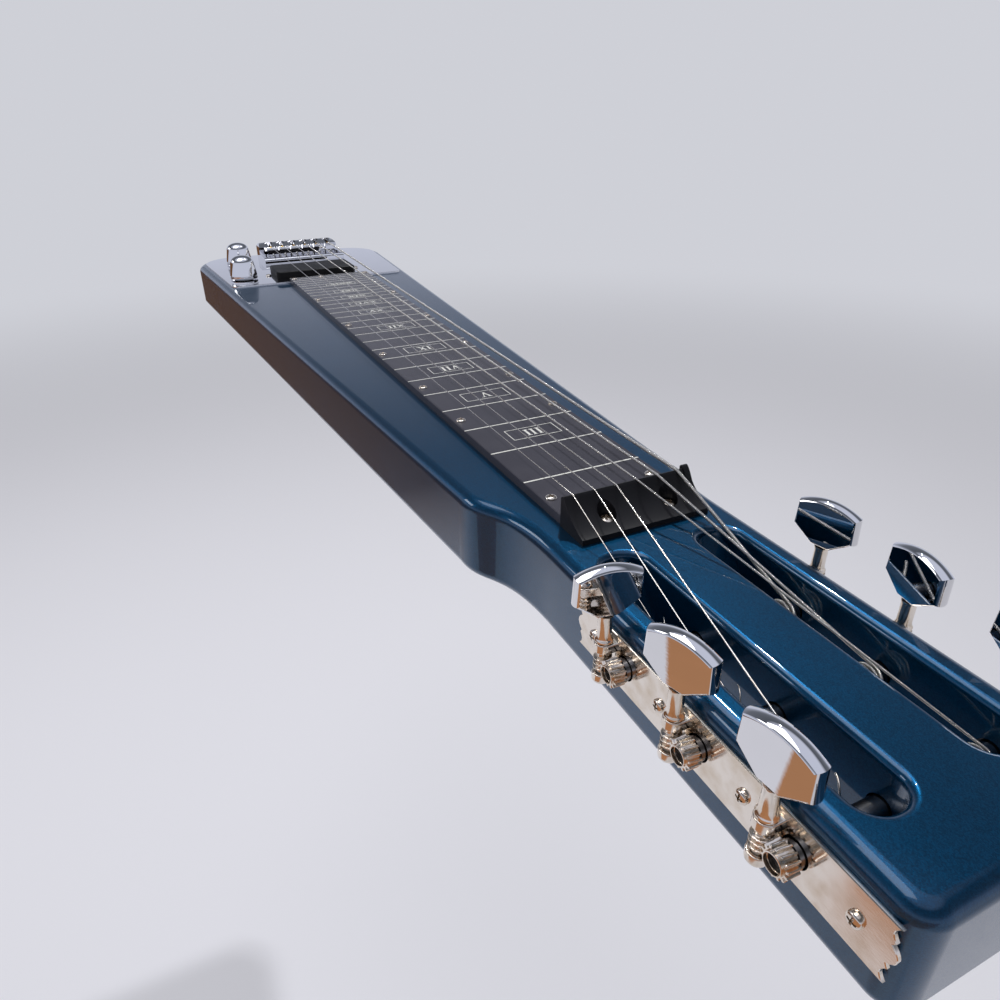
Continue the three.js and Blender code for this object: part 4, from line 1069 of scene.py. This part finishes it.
def worm_shape(x, y, z, bottom, top):
    """Radius over height and angle: a stepped shaft plus a right-hand thread that fades at both ends."""
    low_ear, high_ear = z - EAR, z + EAR
    foot = high_ear + 3.5
    lower = [(0.0, bottom), (1.2, bottom), (1.6, bottom + 0.4), (1.6, low_ear + 0.3), (1.9, low_ear + 0.3)]
    upper = [(1.9, high_ear - 0.3), (1.6, high_ear - 0.3), (1.6, foot - 0.1), (2.7, foot)]
    upper += [(2.95, foot + 0.25), (2.95, foot + 0.7), (2.75, foot + 1.0), (2.45, foot + 1.7)]
    upper += [(2.3, foot + 2.6), (2.3, top - 1.0), (2.5, top - 0.3), (2.5, top), (0.0, top)]
    angle = np.linspace(0.0, 2 * math.pi, WORM_SIDES, endpoint=False)
    heights = np.linspace(low_ear + 0.5, high_ear - 0.5, 84)[:, None]
    phase = (heights - z) / LEAD - angle / (2 * math.pi) + 0.5
    fade = np.clip((THREAD_HALF - np.abs(heights - z)) / THREAD_FADE, 0.0, 1.0)
    thread = WORM_ROOT + THREAD_HEIGHT * trap(phase, *THREAD_SHARES) * fade

    def plain(pairs):
        return np.repeat(np.array(pairs).T[:, :, None], WORM_SIDES, 2)

    middle_rows = np.stack([thread, np.repeat(heights, WORM_SIDES, 1)])
    radius, height = np.concatenate([plain(lower), middle_rows, plain(upper)], 1)
    rings = np.stack([radius * np.cos(angle), radius * np.sin(angle), height], -1)
    return shifted(sheet(rings, False), x, y)


def button_shape(x, y, base, turn):
    """Sloping shoulders, leaning sides and an arched top, with an edge that bulges by a parabola."""
    shoulder = (-10.7, 14.8)
    outline = np.concatenate([
        [(-11.1, 5.5), (-3.4, 0.0), (3.4, 0.0), (11.1, 5.5)],
        bezier([(10.7, 14.8), (0.0, 20.2), shoulder], 28),
        [shoulder],
    ])
    half, crown, rim = 2.5, 0.8, 0.35
    rise = np.linspace(rim - half, half - rim, 13)
    profile = [(crown + rim, -half), (crown + 0.1, 0.1 - half), *zip(crown * (rise / half) ** 2, rise)]
    profile += [(crown + 0.1, half - 0.1), (crown + rim, half)]
    return shifted(facing(slab(outline, profile), "-Y"), x, y, base, turn)


def plate_end(end, sign, z):
    """A hollow, a cusp and a round lobe in the middle, then their mirror image."""

    def at(margin, height):
        return (end - sign * margin, z + sign * height)

    return np.concatenate([
        bezier([at(0.0, -STRIP_HALF), at(2.6, -6.65), at(0.2, -4.3)], 14),
        line(at(0.2, -4.3), at(0.9, -3.1), 2),
        bezier([at(0.9, -3.1), at(-3.2, 0.0), at(0.9, 3.1)], 22),
        line(at(0.9, 3.1), at(0.2, 4.3), 2),
        bezier([at(0.2, 4.3), at(2.6, 6.65), at(0.0, STRIP_HALF)], 14),
        [at(0.0, STRIP_HALF)],
    ])


def ear_shape(x, side, bottom, top, rounding):
    """A half disc that stands out from the strip, with two corners sunk into it."""
    start = 0 if side > 0 else 180
    swing = arc((x, side * WORM_REACH), EAR_RADIUS, start, start + 180, 20)
    corners = [(x - side * EAR_RADIUS, side * EAR_ROOT), (x + side * EAR_RADIUS, side * EAR_ROOT)]
    return slab(np.concatenate([swing, corners]), edged(bottom, top, rounding, 0.4, 4))


def tuner_plate(name, side):
    """The scalloped strip in X and Z with a bearing ear above and below each worm."""
    z = middle(name)[2]
    posts = [x for x, y, _ in (middle(f"string_post_{n}") for n in STRINGS) if y * side > 0]
    start, end = min(posts) - STRIP_END, max(posts) + STRIP_END
    outline = np.concatenate([plate_end(end, 1, z), plate_end(start, -1, z)])
    profile = [(margin, -height) for margin, height in reversed(STRIP_EDGE)] if side > 0 else STRIP_EDGE
    ears, cuts = [], []
    for x in posts:
        worm_x = x - WORM_OFFSET
        for bottom, top, rounding in EAR_SPANS:
            ears.append(("UNION", ear_shape(worm_x, side, z + bottom, z + top, rounding)))
        cuts.append(shifted(rod(*EAR_BORE, sides=32), worm_x, side * WORM_REACH, z))
        cuts.append(shifted(rod(4.1, -4.0, 4.0, axis="+Y"), x, side * EAR_ROOT, z))
    strip = shifted(facing(slab(outline, profile), "-Y"), 0.0, side * HEAD_HALF)
    mesh = shaped(strip, *ears, *less(*cuts))
    piece(name + "_strip", mesh, "warm nickel", stands_for=[name], weighted=True)
    places = [min(posts) - STRIP_SCREW, *[post + STRIP_SCREW for post in posts]]
    heads = [screw(2.1, 1.5, x, side * (HEAD_HALF + 1.2), z, 0.9 * x, outward(side)) for x in places]
    screw_heads(name + "_screws", heads)


def build_tuner(n):
    """One string's worm with its button, and its gear and post on the axis that the worm turns."""
    x, y, z = middle(f"string_post_{n}")
    side, away = math.copysign(1.0, y), outward(y)
    place = (x - WORM_OFFSET, side * WORM_REACH)
    shaft, roller = f"tuner_{n}", f"roller_{n}"
    node = f"worm_shaft_{n}"
    top = high(node)[2]
    worm = worm_shape(*place, z, low(node)[2], top)
    piece(f"worm_{n}", worm, "warm nickel", shaft, [node], angle=40.0)
    button = button_shape(*place, top, math.radians(BUTTON_TURNS[n - 1]))
    node = f"tuner_button_{n}"
    piece(f"button_{n}", button, "mirror chrome", shaft, [node], angle=18.0, weighted=True)
    wheel = gear_shape(x, side, z)
    piece(f"gear_{n}", wheel, "warm nickel", roller, [f"tuner_gear_{n}"], angle=40.0)
    # A black disc at the floor of the gear's hollow centre: painted shade of that recess
    end = WORM_REACH + 0.45
    socket = lathe([(0.0, end), (2.3, end), (2.3, end + 0.25), (0.9, end + 0.45), (0.0, end + 0.45)], 32)
    socket = shifted(facing(socket, away), x, 0.0, z)
    piece(f"painted_hub_shade_{n}", socket, "black nut", roller, slot="steel_parts")
    tip, shoulder = POST_TIP, WORM_REACH - 2.5
    profile = [(0.0, tip), (POST_RADIUS - 0.3, tip), (POST_RADIUS, tip + 0.3), (POST_RADIUS, shoulder)]
    profile += [(2.0, shoulder), (2.0, end - 0.15), (1.8, end + 0.05), (0.0, end + 0.05)]
    hole = bar(POST_HOLE, x - 6.0, x + 6.0, side * STRING_HOLE, z, 24)
    mesh = shaped(shifted(facing(lathe(profile, 64), away), x, 0.0, z), *less(hole))
    # The post's darkened steel is painted shade of the slot it sits in
    piece(f"post_{n}", mesh, "painted shade steel", roller, [f"string_post_{n}"], angle=40.0)


def build_tuners():
    tuner_plate("tuner_plate_near", -1)
    tuner_plate("tuner_plate_far", 1)
    for n in STRINGS:
        build_tuner(n)


# The strings


LEVEL_LENGTH = 3.6
STRING_GAP = 0.3
WIRE_SIDES = 12
WIND_STEPS = 150
WIND_START = SLOT_OUTER - 3.9
LOOSE_TURN = 100
LOOSE_END = (-0.35, -0.2, 0.55)
PLAIN_STRINGS = 3


def string_path(n, curl):
    """From the bridge over the saddle and the nut, round the post in a helix, and out in a loose end."""
    radius = DIAMETERS[n - 1] / 2
    x, y, z = middle(f"string_post_{n}")
    side = math.copysign(1.0, y)
    y_bridge = string_row(n, BRIDGE_CENTRE, BRIDGE_SPACING)
    back, _, base = low("bridge_base")
    start = (back + 4.0, y_bridge, base + STRING_SLOT_FLOOR + STRING_GAP + radius)
    level = (SADDLE_CREST - LEVEL_LENGTH, y_bridge, STRING_HEIGHT)
    crest = (SADDLE_CREST, y_bridge, STRING_HEIGHT)
    nut = (0.0, string_row(n, NUT_CENTRE, NUT_SPACING), STRING_HEIGHT)
    reach = POST_RADIUS + STRING_GAP + radius
    drop = z - STRING_HEIGHT
    slope = math.atan2(drop, x) + math.asin(reach / math.hypot(x, drop))
    first, last = slope + math.pi / 2, -5 * math.pi
    angle = np.linspace(first, last, WIND_STEPS)
    spread = (DIAMETERS[n - 1] + 0.5) * (first - last) / (2 * math.pi)
    wind = np.stack([
        x + reach * np.cos(angle),
        side * (WIND_START - spread * np.linspace(0, 1, WIND_STEPS)),
        z + reach * np.sin(angle),
    ], -1)
    swing = np.linspace(0.12, 1.0, 14)[:, None] * math.radians(LOOSE_TURN)
    bend = 1 - np.cos(swing)
    along, aside, up = LOOSE_END
    end = np.concatenate([along * bend, side * aside * bend, up * np.sin(swing)], 1) * curl / MM
    run = [line(start, level, 6), line(level, crest, 2), line(crest, nut, 30), line(nut, wind[0], 10)]
    return np.concatenate([*run, wind, wind[-1] + end])


def wire_shape(path, radius):
    """A circle carried along a path. Its frame comes from the tangent and the Y axis, which never line up."""
    tangent = np.gradient(path, axis=0)
    normal = np.cross(tangent, [0.0, 1.0, 0.0])
    tangent /= np.linalg.norm(tangent, axis=1, keepdims=True)
    normal /= np.linalg.norm(normal, axis=1, keepdims=True)
    other = np.cross(tangent, normal)
    angle = np.linspace(0.0, 2 * math.pi, WIRE_SIDES, endpoint=False)[None, :, None]
    return sheet(path[:, None] + radius * (np.cos(angle) * normal[:, None] + np.sin(angle) * other[:, None]))


def build_strings(settings):
    """Three plain and three wound strings, with the length along the string as their UV."""
    for n in STRINGS:
        path = string_path(n, settings.loose_end)
        mesh = mesh_of(f"wire_{n}", wire_shape(path, DIAMETERS[n - 1] / 2))
        along = np.concatenate([[0.0], np.cumsum(np.linalg.norm(np.diff(path, axis=0), axis=1))]) * MM
        corners = np.zeros(len(mesh.loops), int)
        mesh.loops.foreach_get("vertex_index", corners)
        rows = np.clip(corners // WIRE_SIDES, 0, len(path) - 1)
        uv = np.stack([along[rows], (corners % WIRE_SIDES) / WIRE_SIDES], -1)
        mesh.uv_layers.new(name="along").data.foreach_set("uv", uv.ravel())
        kind = "wound" if n > PLAIN_STRINGS else "plain"
        piece(f"wire_{n}", mesh, f"{kind} string", stands_for=[f"string_{n}"])


# The stage


FLOOR_RADII = (0.5, 1.0, 2.0, 4.0, 7.0, 12.0, 40.0)
WOOD_EDGE = (-0.86, -0.94, 0.065, 0.192)
WOOD_SLANT = 0.39
WOOD_BLUR = 0.004
WOOD_START = (-0.58, -0.66)
WOOD_DARK = (-1.0, -1.5)
BELT = [(0.15, 0.0), (0.86, 0.0), (0.26, 0.5), (0.42, 0.9), (0.72, 1.0)]
AIM = (-0.2, 0.0, 0.0)


def stage_material(settings):
    """Diffuse by the object, so that it keeps the shadow, and fading outwards into the backdrop's own colour.

    Bright metal and lacquer see a wooden floor past the pale one's edge, as in a room.
    """
    made = bpy.data.materials.new("pale floor")
    made.use_nodes = True
    f = Finish(made.node_tree)
    colour, wood = tuple(settings.floor_colour), tuple(settings.wood_colour)
    pale = f.blend(f.noise(0.6, 2.0), colour, scaled(colour, 1.04))
    inputs = {"Base Color": pale, "Roughness": 0.9, "Specular IOR Level": 0.0}
    floor = f.wire("BsdfPrincipled", 0, {}, inputs)
    glow = f.wire("Emission", 0, {}, {"Color": tuple(settings.backdrop_colour), "Strength": 1.0})
    away = f.wire("VectorMath", "Value", {"operation": "LENGTH"}, {0: f.place()})
    fade = f.between(away, settings.fade_start, settings.fade_end, interpolation_type="SMOOTHSTEP")
    shown = f.mix(fade, floor, glow)
    split = f.node("SeparateXYZ", {}, {"Vector": f.place()})
    along, over = Wire(f, split.outputs["X"]), Wire(f, split.outputs["Y"])
    edge = f.between(over, *WOOD_EDGE)
    beside = f.between(along - over * WOOD_SLANT - edge, -WOOD_BLUR, WOOD_BLUR)
    behind = f.between(along, *WOOD_DARK)
    past = f.between(over, *WOOD_START)
    boards = f.blend(f.noise(3.0, 5.0, (0.25, 3.0, 1.0)), wood, scaled(wood, 0.8))
    boards = f.wire("Emission", 0, {}, {"Color": f.blend(behind, boards, scaled(wood, 0.3)), "Strength": 1.0})
    seen = f.math("MAXIMUM", beside, behind) * past * f.wire("LightPath", "Is Glossy Ray")
    f.close(f.mix(seen, shown, boards))
    return made


def build_floor(settings):
    """A wide flat disc: rings of points at growing radii about the object."""
    turn = np.radians(np.arange(0.0, 360.0, 7.5))
    ring = np.stack([np.cos(turn), np.sin(turn), np.zeros(len(turn))], -1)
    points = np.array(FLOOR_RADII)[:, None, None] * ring - np.array([0.0, 0.0, settings.floor_drop])
    points, faces = sheet(points, False)
    mesh = bpy.data.meshes.new("floor")
    mesh.from_pydata(points, [], [list(range(len(turn))), *[face[::-1] for face in faces]])
    mesh.materials.append(stage_material(settings))
    floor = bpy.data.objects.new("floor", mesh)
    bpy.context.scene.collection.objects.link(floor)


def build_world(settings):
    """One even level lights the object. The camera sees the backdrop, and metal a dim belt above it."""
    world = bpy.data.worlds.new("studio")
    world.use_nodes = True
    bpy.context.scene.world = world
    f = Finish(world.node_tree)
    path = f.node("LightPath").outputs
    kinds = ("Camera", "Glossy", "Transmission")
    camera, glossy, passing = (Wire(f, path[f"Is {kind} Ray"]) for kind in kinds)
    up = f.wire("SeparateXYZ", "Z", {}, {"Vector": f.wire("TexCoord", "Generated")})
    shade = f.blend(f.ramp(up, BELT), tuple(settings.mirror_colour), tuple(settings.room_colour))
    light = f.wire("Background", 0, {}, {"Color": (1.0, 1.0, 1.0), "Strength": settings.sky_level})
    mirror = f.wire("Background", 0, {}, {"Color": shade, "Strength": 1.0})
    shown = f.wire("Background", 0, {}, {"Color": tuple(settings.backdrop_colour), "Strength": 1.0})
    lit = f.mix(f.math("MAXIMUM", glossy, passing), light, mirror)
    f.close(f.mix(camera, lit, shown), "World")


def lamp(name, place, target, size, power):
    """A soft rectangular lamp that faces its target."""
    data = bpy.data.lights.new(name, "AREA")
    data.shape = "RECTANGLE"
    data.size, data.size_y = size
    data.energy = power
    made = bpy.data.objects.new(name, data)
    made.location = place
    made.rotation_mode = "QUATERNION"
    made.rotation_quaternion = (Vector(target) - Vector(place)).to_track_quat("-Z", "Y")
    made.visible_camera = False
    bpy.context.scene.collection.objects.link(made)


def build_lamps(settings):
    power = settings.lamp_power
    lamp("key lamp", (-0.9, 0.6, 1.6), AIM, (0.07, 0.07), power)
    lamp("soft lamp", (-0.5, -0.35, 1.7), AIM, (1.3, 0.9), power * 0.5)
    lamp("side lamp", (-1.3, -1.75, 0.95), (-0.1, 0.0, 0.0), (0.9, 0.45), power * 0.4)


CAMERA_PLACE = (0.2035, -0.1484, 0.1758)
CAMERA_TURN = (61.5024, 0.3862, 64.6939)


def build_camera(settings):
    """The camera looks from above the head's corner, down the strings to the bridge."""
    data = bpy.data.cameras.new("camera")
    data.lens = settings.lens
    data.sensor_width = 36.0
    data.clip_start, data.clip_end = 0.005, 50.0
    made = bpy.data.objects.new("camera", data)
    made.location = CAMERA_PLACE
    made.rotation_euler = np.radians(CAMERA_TURN)
    bpy.context.scene.collection.objects.link(made)
    bpy.context.scene.camera = made


# Settings that a user would change


def colour_property(name, description, default):
    return FloatVectorProperty(
        name=name, description=description, default=default, subtype="COLOR", size=3, min=0.0, max=1.0
    )


def length_property(name, description, default):
    return FloatProperty(
        name=name, description=description, default=default, subtype="DISTANCE", unit="LENGTH", precision=5
    )


def share_property(name, description, default):
    return FloatProperty(
        name=name, description=description, default=default, subtype="FACTOR", min=0.0, max=1.0
    )


class LacquerSettings(bpy.types.PropertyGroup):
    colour: colour_property("Lacquer", "Colour of the flake lacquer", (0.0006, 0.026, 0.064))
    flake: share_property("Flake", "Share of the tone that single flakes carry", 0.5)
    depth: FloatProperty(name="Depth", description="How much brighter the brightest flakes are", default=2.4)
    edge_radius: length_property("Edge radius", "Radius of the body's round edges", 0.005)


class MetalSettings(bpy.types.PropertyGroup):
    chrome_colour: colour_property("Chrome", "Colour of the bright plated parts", (0.85, 0.85, 0.87))
    chrome_roughness: share_property("Chrome roughness", "Least roughness of the chrome", 0.012)
    nickel_colour: colour_property("Nickel", "Colour of the tuners and screws", (0.86, 0.79, 0.71))
    nickel_roughness: share_property("Nickel roughness", "Least roughness of the nickel", 0.07)


class BoardSettings(bpy.types.PropertyGroup):
    colour: colour_property("Board", "Colour of the board", (0.044, 0.043, 0.056))
    ink_colour: colour_property("Ink", "Colour of the fret lines and figures", (0.74, 0.74, 0.72))
    line_width: length_property("Fret line", "Width of a fret line", 0.001)
    mark_width: length_property("Frame line", "Width of the lines round the figures", 0.0004)


class StringSettings(bpy.types.PropertyGroup):
    winding_pitch: length_property("Winding", "Pitch of the wound strings' wrap", 0.0003)
    loose_end: length_property("Loose end", "Length of wire left past the posts", 0.012)


class StageSettings(bpy.types.PropertyGroup):
    floor_colour: colour_property("Floor", "Colour of the floor", (0.80, 0.80, 0.865))
    backdrop_colour: colour_property("Backdrop", "Colour that the camera sees", (0.62, 0.63, 0.68))
    floor_drop: length_property("Floor", "Depth of the floor under the body's back", 0.8)
    mirror_colour: colour_property("Mirror", "Colour that metal sees low and overhead", (0.58, 0.61, 0.73))
    room_colour: colour_property("Room", "Colour that metal sees in the belt", (0.09, 0.10, 0.12))
    wood_colour: colour_property("Wood", "Colour that metal sees past the floor's edge", (0.46, 0.225, 0.112))
    fade_start: length_property("Fade from", "Where the floor starts to fade into the backdrop", 2.0)
    fade_end: length_property("Fade to", "Where the floor is all backdrop", 5.0)
    sky_level: share_property("Sky", "Level of the light from all round", 0.5)
    lamp_power: FloatProperty(name="Lamps", description="Power of the key lamp", unit="POWER", default=15.0)
    lens: FloatProperty(name="Lens", description="Focal length", unit="CAMERA", default=26.676)


# Operators


class LAPSTEEL_OT_body(bpy.types.Operator):
    """Build the lacquered body"""

    bl_idname = "lapsteel.body"
    bl_label = "Body"

    def execute(self, context):
        build_body(context.scene.lap_lacquer)
        return {"FINISHED"}


class LAPSTEEL_OT_board(bpy.types.Operator):
    """Build the board with its lines, figures and screws"""

    bl_idname = "lapsteel.board"
    bl_label = "Board"

    def execute(self, context):
        build_board(context.scene.lap_board)
        return {"FINISHED"}


class LAPSTEEL_OT_nut(bpy.types.Operator):
    """Build the nut and its screws"""

    bl_idname = "lapsteel.nut"
    bl_label = "Nut"

    def execute(self, context):
        build_nut()
        return {"FINISHED"}


class LAPSTEEL_OT_plate(bpy.types.Operator):
    """Build the control plate and the pickup"""

    bl_idname = "lapsteel.plate"
    bl_label = "Plate and pickup"

    def execute(self, context):
        build_plate()
        build_pickup()
        return {"FINISHED"}


class LAPSTEEL_OT_bridge(bpy.types.Operator):
    """Build the bridge and its saddles"""

    bl_idname = "lapsteel.bridge"
    bl_label = "Bridge"

    def execute(self, context):
        build_bridge()
        return {"FINISHED"}


class LAPSTEEL_OT_controls(bpy.types.Operator):
    """Build the knobs and the jack"""

    bl_idname = "lapsteel.controls"
    bl_label = "Controls"

    def execute(self, context):
        build_controls()
        return {"FINISHED"}


class LAPSTEEL_OT_tuners(bpy.types.Operator):
    """Build the tuner plates, worms, gears, posts and buttons"""

    bl_idname = "lapsteel.tuners"
    bl_label = "Tuners"

    def execute(self, context):
        build_tuners()
        return {"FINISHED"}


class LAPSTEEL_OT_strings(bpy.types.Operator):
    """Build the strings"""

    bl_idname = "lapsteel.strings"
    bl_label = "Strings"

    def execute(self, context):
        build_strings(context.scene.lap_strings)
        return {"FINISHED"}


class LAPSTEEL_OT_stage(bpy.types.Operator):
    """Build the floor, the lamps and the camera"""

    bl_idname = "lapsteel.stage"
    bl_label = "Stage"

    def execute(self, context):
        settings = context.scene.lap_stage
        build_floor(settings)
        build_world(settings)
        build_lamps(settings)
        build_camera(settings)
        context.scene.view_settings.view_transform = "Standard"
        return {"FINISHED"}


OPERATORS = [
    LAPSTEEL_OT_body,
    LAPSTEEL_OT_board,
    LAPSTEEL_OT_nut,
    LAPSTEEL_OT_plate,
    LAPSTEEL_OT_bridge,
    LAPSTEEL_OT_controls,
    LAPSTEEL_OT_tuners,
    LAPSTEEL_OT_strings,
    LAPSTEEL_OT_stage,
]

GROUPS = {
    "lap_lacquer": LacquerSettings,
    "lap_metal": MetalSettings,
    "lap_board": BoardSettings,
    "lap_strings": StringSettings,
    "lap_stage": StageSettings,
}


class LAPSTEEL_PT_panel(bpy.types.Panel):
    """Lists the steps and the settings of the lap steel guitar"""

    bl_idname = "LAPSTEEL_PT_panel"
    bl_label = "Lap Steel Guitar"
    bl_space_type = "VIEW_3D"
    bl_region_type = "UI"
    bl_category = "Lap Steel"

    def draw(self, context):
        for group in GROUPS:
            box = self.layout.box()
            settings = getattr(context.scene, group)
            for key in settings.__annotations__:
                box.prop(settings, key)
        for operator in OPERATORS:
            self.layout.operator(operator.bl_idname)


def register():
    for cls in [*GROUPS.values(), *OPERATORS, LAPSTEEL_PT_panel]:
        bpy.utils.register_class(cls)
    for name, cls in GROUPS.items():
        setattr(bpy.types.Scene, name, bpy.props.PointerProperty(type=cls))


def unregister():
    for name in GROUPS:
        delattr(bpy.types.Scene, name)
    for cls in reversed([*GROUPS.values(), *OPERATORS, LAPSTEEL_PT_panel]):
        bpy.utils.unregister_class(cls)


def main():
    register()
    for operator in OPERATORS:
        group, name = operator.bl_idname.split(".")
        getattr(getattr(bpy.ops, group), name)()


if __name__ == "__main__":
    main()
